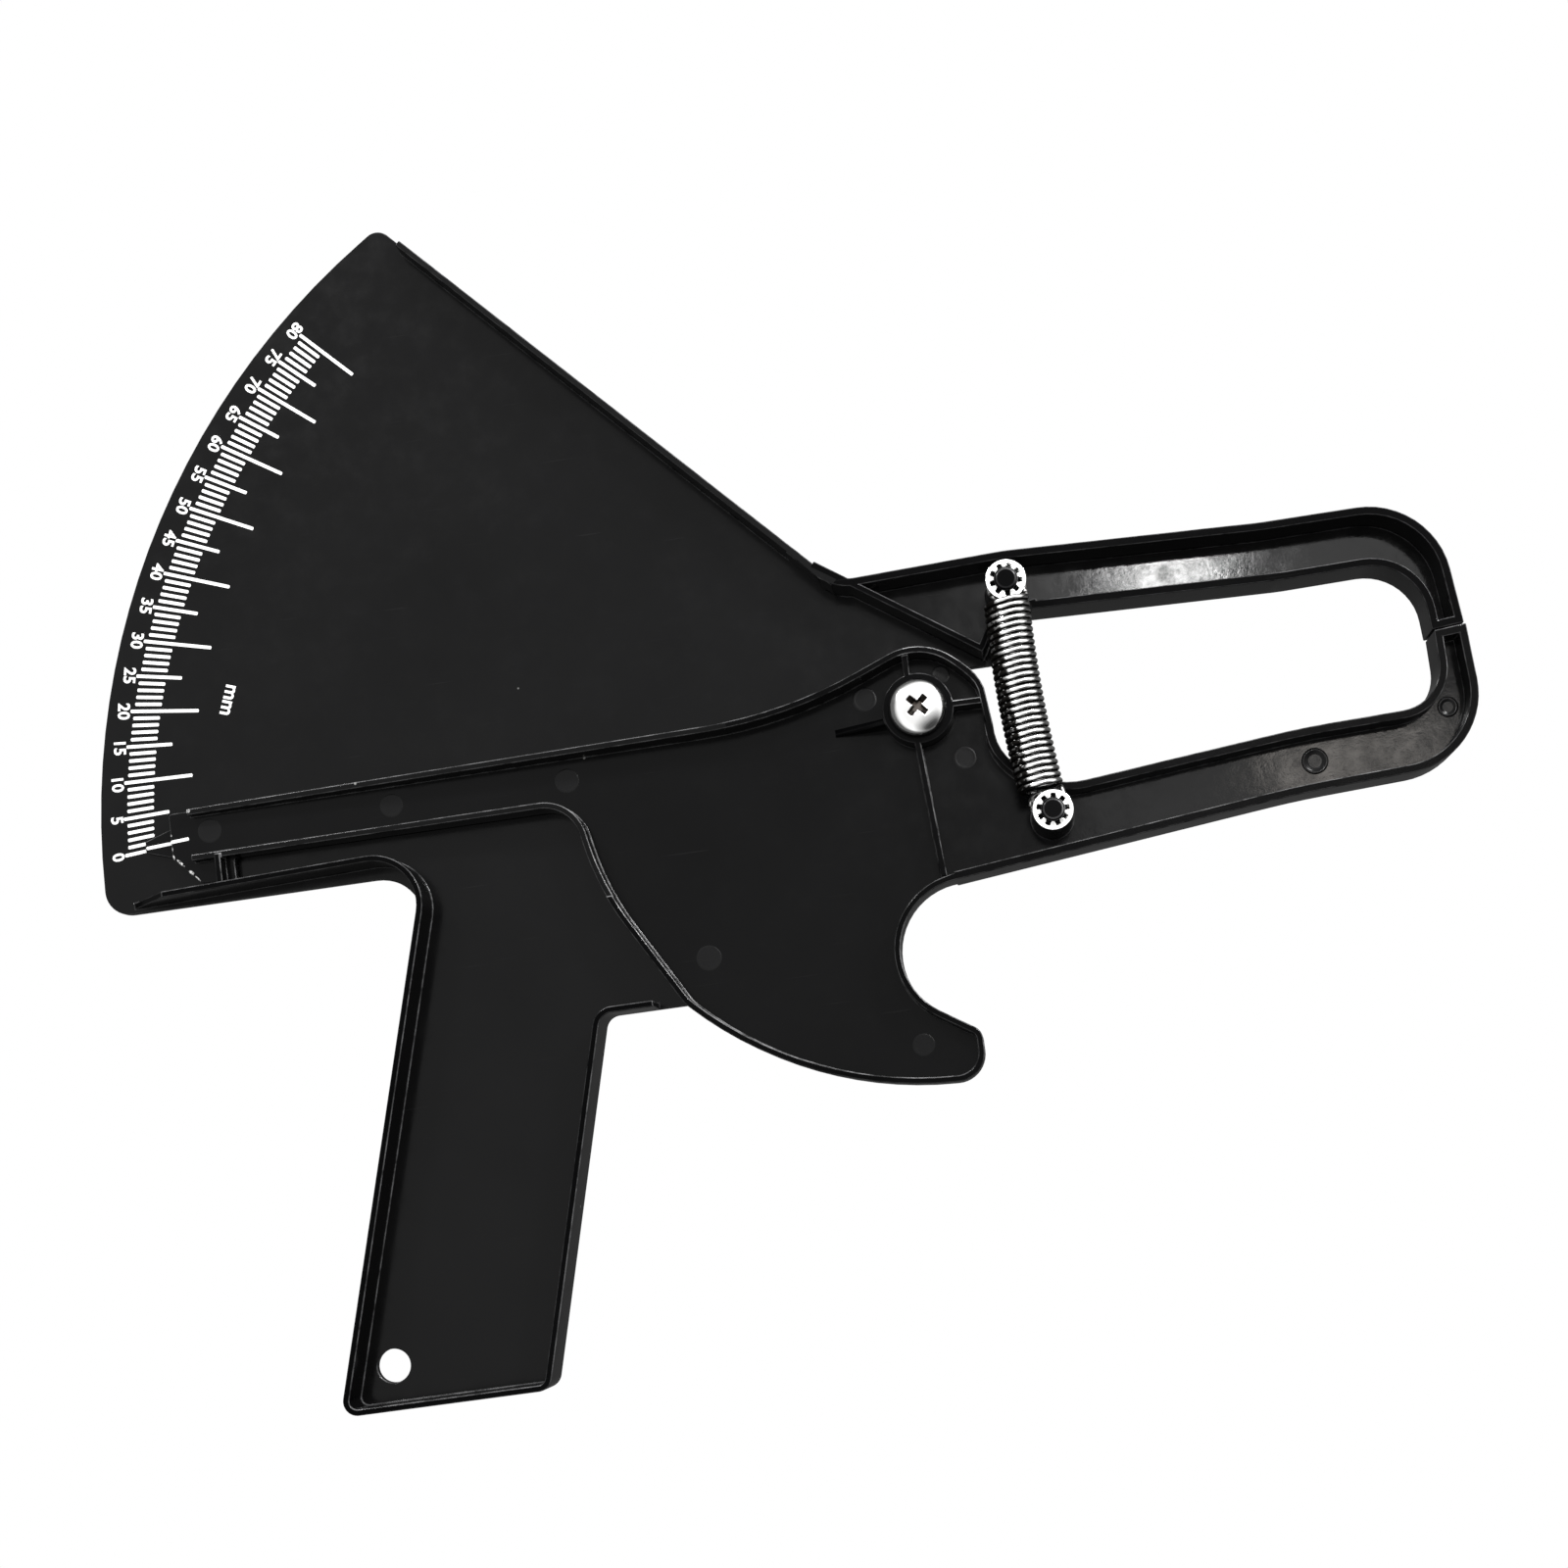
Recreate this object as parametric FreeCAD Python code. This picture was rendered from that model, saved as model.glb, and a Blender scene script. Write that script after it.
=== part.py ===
import FreeCAD
import Part
import os
from math import acos, atan2, cos, degrees, hypot, pi, radians, sin, sqrt, tan
from FreeCAD import Vector

# Spring-loaded skinfold caliper.  Two ribbed plastic mouldings lie flat on each other and turn on one screw.
# The origin is on the pivot axis in the flat back of the frame, X points towards the jaw tips, Z to the front.
# Lengths in millimetres, angles in degrees.

# Levels above the back
PLATE = 2.0                 # thickness of the frame's plate and of the lever's plate
LAY_GAP = 0.4               # air between the frame's plate and the lever lying over it
WALL_TOP = 11.0             # top of the stiffening walls
LOW_TOP = 7.0               # height to which the long ribs fall at their far ends
RIB = 1.3                   # thickness of the long ribs
JAW_WALL = 1.7              # thickness of the walls round both jaws
LEVER_BACK = PLATE + LAY_GAP
LEVER_FRONT = LEVER_BACK + PLATE

# Scale fan
FAN_CENTRE = (-17.0, -12.2)
FAN_RADIUS = 160.2
FAN_FIRST = 180.0           # the curved edge runs from this angle, seen from the fan's centre
FAN_LAST = 124.0
FAN_TOP_AT = (-97.9, 118.8)  # a point of the fan's straight upper edge
FAN_TOP_HEADING = -46.8
FAN_FOOT = -18.35           # the fan's lower edge
FAN_FOOT_ROUND = 5.5
FAN_TOP_ROUND = 3.3
TOP_RIB_START = 1.5         # the upper rib begins this far past the point above
FOOT_RIB_AT = (-162.0, -17.1)  # a point of the outer face of the rib along the fan's lower edge
FOOT_RIB_HEADING = 1.8
FOOT_RIB_START = -171.0
FOOT_RIB_RAMP = 9.0
FOOT_RIB_ROUND = 9.3

# Pistol grip
GRIP_BACK_AT = (-109.6, -29.2)
GRIP_BACK_HEADING = -105.2
GRIP_FRONT_AT = (-83.2, -91.05)
GRIP_FRONT_HEADING = 75.3
GRIP_FOOT = -128.7
GRIP_ROUND = 3.0
ARMPIT_ROUND = 9.5
WEB_EDGE = -135.5            # the plate ends on this ray from the pivot, hidden under the lever
SHELF_CLEAR = 4.6           # the shelf's wall ends this far outside the sweep of the guard
HANG_AT = (-126.8, -120.0)
HANG_RADIUS = 3.5

# Jaws
FACE_AT = (110.0, 0.85)     # middle of the closed jaws' meeting line
FACE_TILT = 5.0
FACE_GAP = 0.25
TIP_X = 112.7               # outer side of both jaws at the faces
TIP_FLARE = 5.1             # lean of the fixed jaw's outer side
FIXED_TOP = 28.4            # outer edge of the fixed jaw at its tip
FIXED_TIP_ROUND = 17.0
FIXED_ROOT_ROUND = 9.0
FIXED_BACK = (22.0, 30.1)   # slight bend in the fixed jaw's outer edge near its root
FIXED_BACK_ROUND = 60.0
FIXED_BEND_X = 75.0         # slight bend nearer the tip
FIXED_BEND_ROUND = 90.0
JAW_WALL_LEAD = 12.0        # the jaw's thicker wall starts this far before the root's corner
FIXED_THROAT = 16.0
FIXED_THROAT_X = 106.3
FIXED_THROAT_ROUND = 11.5
THROAT_BEND_ROUND = 120.0
THROAT_ROOT_ROUND = 5.0
MOVING_TIP_X = 114.9
MOVING_FOOT = -27.3
MOVING_TIP_ROUND = 16.8
MOVING_THROAT = -14.9
MOVING_THROAT_X = 107.0
MOVING_THROAT_ROUND = 9.0
MOVING_BEND_ROUND = 200.0
VALLEY = (17.4, 8.4)        # corner of the frame's plate between the fixed jaw and the hub
VALLEY_RIB = (15.2, 10.1)   # foot of the V that the two inner ribs make above the valley

# Pivot
HUB_RADIUS = 12.0           # disc of the frame's plate round the pivot
SHOULDER_RADIUS = 6.5
SHOULDER_TOP = 4.0
JOURNAL_RADIUS = 5.0
JOURNAL_TOP = 10.3
RUNNING = 0.05              # radial clearance of the lever on the journal
SEAT = 0.05                 # axial clearance under and over what turns
BOSS_RADIUS = 7.4
BOSS_TOP = 10.0
SHOULDER_CLEAR = 0.15
SCREW_RADIUS = 2.5
SCREW_CLEAR = 0.15          # radial clearance of the screw in the frame's hub
SCREW_LENGTH = 10.0
HEAD_RADIUS = 6.0
HEAD_HEIGHT = 3.2
HEAD_EDGE = 0.9             # height of the head's straight rim
DOME_STEPS = (1.0, 0.84, 0.6, 0.3)
CROSS_SPAN = 6.2
CROSS_WIDTH = 1.3
CROSS_DEPTH = 2.0
CROSS_TURN = 50.0
NUT_FLATS = 8.0
NUT_HEIGHT = 2.7
NUT_RECESS = 0.4            # depth of the nut's outer face behind the frame's back
NUT_CLEAR = 0.1
THREAD_CLEAR = 0.03

# Lever
HUB_EDGE = 12.8             # outer radius of the lever round its hub
ARM_END = -161.0
ARM_RISE = 0.5
ARM_FOOT = -9.6
ARM_SHOULDER = (-30.1, 2.6)
ARM_SHOULDER_ROUND = 95.0
HUB_CLIMB = 21.6
ARM_RIB_START = -156.2
ARM_RIB_LOW = -156.0
ARM_RIB_HIGH = -40.0        # the arm's ribs reach their full height here
NECK_LEAN = -80.8
NECK_ROUND = 17.0
NECK_DEEP = -5.0            # below this the jaw's inner wall reaches down to the frame's back
GUARD_RADIUS = 77.9
GUARD_FIRST = -92.0
GUARD_LAST = -134.9
GUARD_KINK = 1.2            # past its arc the guard turns inwards here
GUARD_KINK_ROUND = 8.0
GUARD_BACK_HEADING = 120.0
GUARD_BACK_ROUND = 60.0
GUARD_TOP_INSET = 3.3       # the guard's upper corner lies this far inside its radius
GUARD_TOP_X = GUARD_TOP_INSET - GUARD_RADIUS
GUARD_TOP_HEADING = 101.0
GUARD_TOP_ROUND = 8.0
SHELF_RISE = 23.9           # plate's lower edge beside the guard, above the guard's lowest point
GRIP_SHELF = SHELF_RISE - GUARD_RADIUS
HOOK_RISE = 26.9            # centre of the finger hook above the guard's lowest point
HOOK_CENTRE = (3.9, HOOK_RISE - GUARD_RADIUS)
HOOK_RADIUS = 14.3
TRIGGER_X = 4.0
TRIGGER_RISE = 9.8          # tip of the trigger above the guard's lowest point
TRIGGER_NOSE = (TRIGGER_X, TRIGGER_RISE - GUARD_RADIUS)
TRIGGER_NOSE_ROUND = 3.0
TRIGGER_ROUND = 6.0
FOREARM_START = 3.0         # from here to the tip the jaw's outer wall reaches down to the frame's back
STOP_X = -150.4             # middle of the stop tab that rests on the fan's lower rib
STOP_GAP = 0.35
STOP_HALF = 2.5
STOP_WIDTH = 1.2
STOP_TOP = 8.0
STOP_CHAMFER = 5.6
FLAP_TIP = -167.0
FLAP_HALF = 1.2
FLAP_MIDDLE = -4.7
FLAP_ROOT_HALF = 3.2
FLAP_THICK = 0.8
DOWN_RIB_END = (0.6, -35.4)  # boss rib that runs down to the forearm's outer wall
LEFT_RIB_END = (-18.0, -1.9)  # boss rib that runs out in the arm

# Spring and its two posts
UPPER_POST = (21.58, 22.49)
LOWER_POST = (24.49, -26.05)
POST_ROOT = 4.5
POST_NECK = 3.9
PIN_RADIUS = 2.5
PIN_RISE = 2.7
PIN_BEVEL = 0.5
WIRE = 1.2
COIL_RADIUS = 4.6           # outer radius of the spring
COIL_RIDGES = 16            # ridges of the sleeve, each for two turns of the wire
COIL_SHIFT_UPPER = 0.8      # the coils hang off the line of the posts, towards the pivot
COIL_SHIFT_LOWER = 1.5
COIL_CLEAR = 0.6            # height of the spring over the walls that it crosses
LOOP_OFFSET = 0.45          # gap between a loop's middle line and the first coil
SPRING_Z = WALL_TOP + COIL_CLEAR + COIL_RADIUS
POST_TOP = SPRING_Z - WIRE / 2 - SEAT
PIN_TOP = POST_TOP + PIN_RISE

# Star washers
STAR_RADIUS = 4.3
STAR_THICK = 0.4
STAR_BAND = 3.5             # inside this radius the washer is cut into teeth
STAR_TEETH = 9
STAR_SLOT = 0.7
STAR_FIT = 0.03
STAR_Z = SPRING_Z + WIRE / 2 + SEAT


def meet(p, heading_p, q, heading_q):
    """Corner where the line through p meets the line through q."""
    ax, ay = cos(radians(heading_p)), sin(radians(heading_p))
    bx, by = cos(radians(heading_q)), sin(radians(heading_q))
    t = ((q[0] - p[0]) * by - (q[1] - p[1]) * bx) / (ax * by - ay * bx)
    return (p[0] + t * ax, p[1] + t * ay)


def sweep(centre, radius, first, last):
    """Corner that, rounded with the radius, gives the arc about the centre from first to last."""
    middle = radians((first + last) / 2)
    reach = radius / cos(radians(last - first) / 2)
    return (centre[0] + reach * cos(middle), centre[1] + reach * sin(middle), radius)


def on_circle(centre, radius, angle):
    return (centre[0] + radius * cos(radians(angle)), centre[1] + radius * sin(radians(angle)))


def touch(p, centre, radius, side):
    """Angle at which a line from p touches the circle; side is +1 or -1 for the two touching points."""
    return heading(centre, p) + side * degrees(acos(radius / hypot(p[0] - centre[0], p[1] - centre[1])))


def corner(p, round_radius=0.0):
    return (p[0], p[1], round_radius)


def heading(p, q):
    return degrees(atan2(q[1] - p[1], q[0] - p[0]))


def turned(a, b, c):
    """Turn of the path a, b, c at b, positive to the left."""
    turn = radians(heading(b, c) - heading(a, b))
    return (turn + pi) % (2 * pi) - pi


def rounded(corners, closed):
    """Wire through the corners with each corner's radius as a tangent arc."""
    count = len(corners)
    ends = []
    for i in range(count):
        b = corners[i]
        here = Vector(b[0], b[1], 0)
        last_or_first = not closed and i in (0, count - 1)
        if last_or_first or b[2] == 0:
            ends.append((here, here, here))
            continue
        a = corners[i - 1]
        c = corners[(i + 1) % count]
        half = turned(a, b, c) / 2
        reach = b[2] * tan(abs(half))
        back = (Vector(a[0], a[1], 0) - here).normalize()
        ahead = (Vector(c[0], c[1], 0) - here).normalize()
        inward = (back + ahead).normalize()
        sag = b[2] / cos(half) - b[2]
        ends.append((here + back * reach, here + inward * sag, here + ahead * reach))
    edges = []
    for i in range(count):
        start, middle, end = ends[i]
        if start != end:
            edges.append(Part.Arc(start, middle, end).toShape())
        if i == count - 1 and not closed:
            break
        after = ends[(i + 1) % count][0]
        if end.distanceToPoint(after) > 1e-6:
            edges.append(Part.LineSegment(end, after).toShape())
    return Part.Wire(edges)


def beside(corners, distance):
    """The open path moved sideways, to the left for a positive distance, with its arcs kept parallel."""
    moved = []
    count = len(corners)
    for i in range(count):
        b = corners[i]
        a = corners[max(i - 1, 0)]
        c = corners[min(i + 1, count - 1)]
        if i == 0:
            a = (2 * b[0] - c[0], 2 * b[1] - c[1])
        if i == count - 1:
            c = (2 * b[0] - a[0], 2 * b[1] - a[1])
        turn = turned(a, b, c)
        normal = radians(heading(a, b) + 90) + turn / 2
        reach = distance / cos(turn / 2)
        side = 1 if turn > 0 else -1
        radius = max(b[2] - side * distance, 0) if b[2] else 0
        moved.append((b[0] + reach * cos(normal), b[1] + reach * sin(normal), radius))
    return moved


def prism(corners, low, high):
    """Closed outline raised from one level to another."""
    face = Part.Face(rounded(corners, True))
    face.translate(Vector(0, 0, low))
    return face.extrude(Vector(0, 0, high - low))


def ribbon(corners, width, low, high):
    """Upright wall along an open path, to the left of it for a positive width."""
    return prism(corners + beside(corners, width)[::-1], low, high)


def bar(p, q, width, low, high):
    """Straight upright rib centred on the line from p to q."""
    line = beside([corner(p), corner(q)], -width / 2)
    return ribbon(line, width, low, high)


def slope(p, height_p, q, height_q, before, beyond, half_width=30.0):
    """Tool that takes away what lies over the sloping plane from p to q, and over a span before and beyond."""
    run = hypot(q[0] - p[0], q[1] - p[1])
    gain = (height_q - height_p) / run
    top = WALL_TOP + PIN_RISE
    side = [
        Vector(-before, -half_width, height_p - before * gain),
        Vector(run + beyond, -half_width, height_q + beyond * gain),
        Vector(run + beyond, -half_width, height_q + beyond * gain + top),
        Vector(-before, -half_width, height_q + beyond * gain + top),
    ]
    tool = Part.Face(Part.makePolygon(side + side[:1])).extrude(Vector(0, 2 * half_width, 0))
    tool.rotate(Vector(0, 0, 0), Vector(0, 0, 1), heading(p, q))
    tool.translate(Vector(p[0], p[1], 0))
    return tool


def disc(at, radius, low, high):
    return Part.makeCylinder(radius, high - low, Vector(at[0], at[1], low))


def turned_profile(points, at=(0.0, 0.0)):
    """Solid of revolution about the upright axis, from a profile of (radius, level) points."""
    profile = [Vector(r, 0, z) for r, z in points]
    solid = Part.Face(Part.makePolygon(profile + profile[:1])).revolve(Vector(0, 0, 0), Vector(0, 0, 1), 360)
    solid.translate(Vector(at[0], at[1], 0))
    return solid


def joined(first, others):
    return first.fuse(others).removeSplitter()


def jaw_face(side):
    """A point of one jaw's end face: +1 for the fixed jaw, -1 for the moving jaw."""
    lift = side * FACE_GAP / 2
    return (FACE_AT[0] - lift * sin(radians(FACE_TILT)), FACE_AT[1] + lift * cos(radians(FACE_TILT)))


def spring_post(at, root_level):
    """Tapered pedestal with a bevelled pin for the spring's loop and the star washer."""
    return turned_profile([
        (0, root_level), (POST_ROOT, root_level), (POST_NECK, POST_TOP), (PIN_RADIUS, POST_TOP),
        (PIN_RADIUS, PIN_TOP - PIN_BEVEL), (PIN_RADIUS - PIN_BEVEL, PIN_TOP), (0, PIN_TOP)], at)


# Fixed jaw: the outer edge from the fan's upper edge to the tip, and back along the throat
fixed_root = meet(FAN_TOP_AT, FAN_TOP_HEADING, (-9.8, 29.0), 1.9)
fixed_outer = [
    corner(fixed_root, FIXED_ROOT_ROUND),
    corner(FIXED_BACK, FIXED_BACK_ROUND),
    corner((FIXED_BEND_X, FIXED_TOP - 0.3), FIXED_BEND_ROUND),
    corner(meet((FIXED_BEND_X, FIXED_TOP - 0.3), 0.5, (TIP_X, 8.0), 90.0 + TIP_FLARE), FIXED_TIP_ROUND),
    corner(meet(jaw_face(1), FACE_TILT, (TIP_X, 8.0), 90.0 + TIP_FLARE)),
]
fixed_inner = [
    corner(meet(jaw_face(1), FACE_TILT, (FIXED_THROAT_X, 6.0), 93.0)),
    corner(meet((FIXED_THROAT_X, 6.0), 93.0, (78.3, FIXED_THROAT - 0.6), 1.2), FIXED_THROAT_ROUND),
    corner((78.3, FIXED_THROAT - 0.6), THROAT_BEND_ROUND),
]
throat_root = (22.0, FIXED_THROAT + 1.15)
throat_wall_end = (26.0, FIXED_THROAT + 1.03)


def make_frame():
    """Scale fan, pistol grip, fixed jaw and hub, moulded in one with their walls, ribs and upper spring post."""
    fan_arc = sweep(FAN_CENTRE, FAN_RADIUS, FAN_FIRST, FAN_LAST)
    fan_left = FAN_CENTRE[0] - FAN_RADIUS
    arc_end = on_circle(FAN_CENTRE, FAN_RADIUS, FAN_LAST)
    fan_top = meet(arc_end, FAN_LAST - 90, FAN_TOP_AT, FAN_TOP_HEADING)
    grip_top_back = meet((0, FAN_FOOT), 0, GRIP_BACK_AT, GRIP_BACK_HEADING)
    grip_foot_back = meet((0, GRIP_FOOT), 0, GRIP_BACK_AT, GRIP_BACK_HEADING)
    grip_foot_front = meet((0, GRIP_FOOT), 0, GRIP_FRONT_AT, GRIP_FRONT_HEADING)
    grip_top_front = meet((0, GRIP_SHELF), 0, GRIP_FRONT_AT, GRIP_FRONT_HEADING)
    shelf_tip = meet((0, GRIP_SHELF), 0, (0, 0), WEB_EDGE)
    shelf_wall_end = (-sqrt((GUARD_RADIUS + SHELF_CLEAR) ** 2 - GRIP_SHELF ** 2), GRIP_SHELF)
    outline = [
        corner((fan_left, FAN_FOOT), FAN_FOOT_ROUND),
        fan_arc,
        corner(fan_top, FAN_TOP_ROUND),
        *fixed_outer,
        *fixed_inner,
        corner(throat_root, THROAT_ROOT_ROUND),
        corner(VALLEY, 0.8),
        corner((HUB_RADIUS / 2, VALLEY[1])),
        corner((0, 0)),
        corner(shelf_tip, 1.0),
        corner(grip_top_front, GRIP_ROUND),
        corner(grip_foot_front, GRIP_ROUND),
        corner(grip_foot_back, GRIP_ROUND),
        corner(grip_top_back, ARMPIT_ROUND),
    ]
    plate = prism(outline, 0, PLATE)
    # The fan's upper rib falls away towards the fan's corner
    rib_start = on_circle(FAN_TOP_AT, TOP_RIB_START, FAN_TOP_HEADING)
    top_rib = ribbon([corner(rib_start), corner(fixed_root)], -RIB, 0, WALL_TOP)
    top_rib = top_rib.cut(slope(rib_start, LOW_TOP, fixed_root, WALL_TOP, 5, 0))
    jaw_start = on_circle(fixed_root, JAW_WALL_LEAD, FAN_TOP_HEADING + 180)
    jaw_path = [corner(jaw_start), *fixed_outer, *fixed_inner, corner(throat_wall_end)]
    jaw_wall = ribbon(jaw_path, -JAW_WALL, 0, WALL_TOP)
    jaw_wall = jaw_wall.cut(slope(rib_start, LOW_TOP, fixed_root, WALL_TOP, 5, 0))
    # Lower rib of the fan, running on as the wall round the grip
    foot_start = meet(FOOT_RIB_AT, FOOT_RIB_HEADING, (FOOT_RIB_START, 0), 90)
    foot_corner = meet(FOOT_RIB_AT, FOOT_RIB_HEADING, GRIP_BACK_AT, GRIP_BACK_HEADING)
    grip_wall = ribbon([
        corner(foot_start),
        corner(foot_corner, FOOT_RIB_ROUND),
        corner(grip_foot_back, GRIP_ROUND),
        corner(grip_foot_front, GRIP_ROUND),
        corner(grip_top_front, GRIP_ROUND),
        corner(shelf_wall_end),
    ], RIB, 0, WALL_TOP)
    ramp_end = on_circle(foot_start, FOOT_RIB_RAMP, FOOT_RIB_HEADING)
    grip_wall = grip_wall.cut(slope(foot_start, PLATE, ramp_end, WALL_TOP, 5, 0))
    # Inner ribs that close the fixed jaw's channel towards the hub
    diagonal = bar((jaw_start[0] + 4, jaw_start[1] - 4.5), VALLEY_RIB, RIB, 0, WALL_TOP)
    leg = ribbon([
        corner(VALLEY_RIB),
        corner((19.0, throat_root[1] - 0.4), 3.0),
        corner((27.5, throat_root[1] + 0.7)),
    ], RIB, 0, WALL_TOP)
    post = spring_post(UPPER_POST, 0)
    hub = turned_profile([
        (0, 0), (HUB_RADIUS, 0), (HUB_RADIUS, PLATE), (SHOULDER_RADIUS, PLATE), (SHOULDER_RADIUS, SHOULDER_TOP),
        (JOURNAL_RADIUS, SHOULDER_TOP), (JOURNAL_RADIUS, JOURNAL_TOP), (0, JOURNAL_TOP)])
    body = joined(plate, [top_rib, jaw_wall, grip_wall, diagonal, leg, post, hub])
    bore = disc((0, 0), SCREW_RADIUS + SCREW_CLEAR, 0, JOURNAL_TOP)
    pocket = hexagon(NUT_FLATS + 2 * NUT_CLEAR, 0, NUT_RECESS + NUT_HEIGHT)
    hang_hole = disc(HANG_AT, HANG_RADIUS, 0, PLATE)
    return body.cut([bore, pocket, hang_hole])


def hexagon(flats, low, high):
    across = flats / 2 / cos(radians(30))
    corners = [(across * cos(radians(60 * k)), across * sin(radians(60 * k)), 0.0) for k in range(6)]
    return prism(corners, low, high)


# Moving jaw: the throat edge from the hub's neck to the tip, and back along the outer edge
neck_at = on_circle((0, 0), HUB_EDGE, NECK_LEAN + 90)
throat_slope = 5.45
throat_bend = (77.3, MOVING_THROAT - 0.75)
neck_corner = meet(neck_at, NECK_LEAN, throat_bend, throat_slope)
forearm_bend = (75.3, MOVING_FOOT - 1.8)
moving_inner = [
    corner(neck_corner, NECK_ROUND),
    corner(throat_bend, MOVING_BEND_ROUND),
    corner(meet(throat_bend, 1.6, (MOVING_THROAT_X, 0), 90), MOVING_THROAT_ROUND),
    corner(meet(jaw_face(-1), FACE_TILT, (MOVING_THROAT_X, 0), 90)),
]
moving_outer = [
    corner(meet(jaw_face(-1), FACE_TILT, (MOVING_TIP_X, MOVING_FOOT), 92.5)),
    corner(meet(forearm_bend, 2.6, (MOVING_TIP_X, MOVING_FOOT), 92.5), MOVING_TIP_ROUND),
    corner(forearm_bend, MOVING_BEND_ROUND),
]
hook_first = touch(forearm_bend, HOOK_CENTRE, HOOK_RADIUS, 1)
hook_last = touch(TRIGGER_NOSE, HOOK_CENTRE, HOOK_RADIUS, -1) + 360
hook_start = sweep(HOOK_CENTRE, HOOK_RADIUS, hook_first, (hook_first + hook_last) / 2)
hook_end = sweep(HOOK_CENTRE, HOOK_RADIUS, (hook_first + hook_last) / 2, hook_last)


def make_lever():
    """Pointer arm, hub, trigger and moving jaw, moulded in one with walls, boss ribs and the lower spring post."""
    arm_top_end = meet(ARM_SHOULDER, ARM_RISE, (ARM_END, 0), 90)
    hub_arc = sweep((0, 0), HUB_EDGE, HUB_CLIMB + 90, NECK_LEAN + 90)
    shoulder = meet(ARM_SHOULDER, ARM_RISE, on_circle((0, 0), HUB_EDGE, HUB_CLIMB + 90), HUB_CLIMB)
    guard_arc = sweep((0, 0), GUARD_RADIUS, GUARD_FIRST, GUARD_LAST)
    guard_from = on_circle((0, 0), GUARD_RADIUS, GUARD_FIRST)
    guard_to = on_circle((0, 0), GUARD_RADIUS, GUARD_LAST)
    guard_top = (GUARD_TOP_X, ARM_FOOT)
    guard_kink = on_circle(guard_to, GUARD_KINK, GUARD_LAST - 90)
    guard_back = meet(guard_kink, GUARD_BACK_HEADING, guard_top, GUARD_TOP_HEADING)
    trigger_foot = meet((TRIGGER_X, 0), 90, guard_from, GUARD_FIRST - 90)
    arm_top = [corner(arm_top_end, 0.8), corner(shoulder, ARM_SHOULDER_ROUND), hub_arc]
    trigger = [
        hook_start,
        hook_end,
        corner(TRIGGER_NOSE, TRIGGER_NOSE_ROUND),
        corner(trigger_foot, TRIGGER_ROUND),
        guard_arc,
        corner(guard_kink, GUARD_KINK_ROUND),
        corner(guard_back, GUARD_BACK_ROUND),
        corner(guard_top, GUARD_TOP_ROUND),
    ]
    rib_under_stop = meet(FOOT_RIB_AT, FOOT_RIB_HEADING, (STOP_X, 0), 90)[1] + RIB
    stop_level = rib_under_stop + STOP_GAP
    stop_right = STOP_X + STOP_HALF
    stop_foot = [
        corner((stop_right, ARM_FOOT), 1.0),
        corner((stop_right, stop_level), 0.5),
        corner((ARM_END + STOP_CHAMFER, stop_level + 1.0)),
        corner((ARM_END, stop_level + 1.0 + STOP_CHAMFER)),
    ]
    outline = [*arm_top, *moving_inner, *moving_outer, *trigger, *stop_foot]
    plate = prism(outline, LEVER_BACK, LEVER_FRONT)
    # One wall runs round the whole lever from the arm's upper edge to its lower edge
    wall_path = [
        corner(meet(ARM_SHOULDER, ARM_RISE, (ARM_RIB_START, 0), 90)),
        *arm_top[1:],
        *moving_inner,
        *moving_outer,
        *trigger,
        corner((ARM_RIB_START, ARM_FOOT)),
    ]
    wall = ribbon(wall_path, -RIB, LEVER_BACK, WALL_TOP)
    wall = wall.cut(slope((ARM_RIB_LOW, 0), LOW_TOP, (ARM_RIB_HIGH, 0), WALL_TOP, 5, 0))
    # Both walls of the jaw are thicker and reach down to the frame's back
    neck_low = meet(neck_at, NECK_LEAN, (0, NECK_DEEP), 0)
    forearm_end = meet(forearm_bend, heading(forearm_bend, hook_start), (FOREARM_START, 0), 90)
    jaw_path = [corner(neck_low), *moving_inner, *moving_outer, corner(forearm_end)]
    jaw_wall = ribbon(jaw_path, -JAW_WALL, 0, WALL_TOP)
    stop_tab = bar((STOP_X, ARM_FOOT + RIB / 2), (STOP_X, stop_level), STOP_WIDTH, LEVER_BACK, STOP_TOP)
    flap = prism([
        (ARM_END + 1, FLAP_MIDDLE + FLAP_ROOT_HALF, 0), (ARM_END, FLAP_MIDDLE + FLAP_ROOT_HALF, 0),
        (FLAP_TIP, FLAP_MIDDLE + FLAP_HALF, 0), (FLAP_TIP, FLAP_MIDDLE - FLAP_HALF, 0),
        (ARM_END, FLAP_MIDDLE - FLAP_ROOT_HALF, 0), (ARM_END + 1, FLAP_MIDDLE - FLAP_ROOT_HALF, 0),
    ], LEVER_BACK, LEVER_BACK + FLAP_THICK)
    boss = disc((0, 0), BOSS_RADIUS, LEVER_BACK, BOSS_TOP)
    ribs = boss_ribs()
    post = spring_post(LOWER_POST, LEVER_BACK)
    body = joined(plate, [wall, jaw_wall, stop_tab, flap, boss, post, *ribs])
    bore = disc((0, 0), JOURNAL_RADIUS + RUNNING, LEVER_BACK, BOSS_TOP)
    counterbore = disc((0, 0), SHOULDER_RADIUS + SHOULDER_CLEAR, LEVER_BACK, SHOULDER_TOP + SEAT)
    return body.cut([bore, counterbore])


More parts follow.
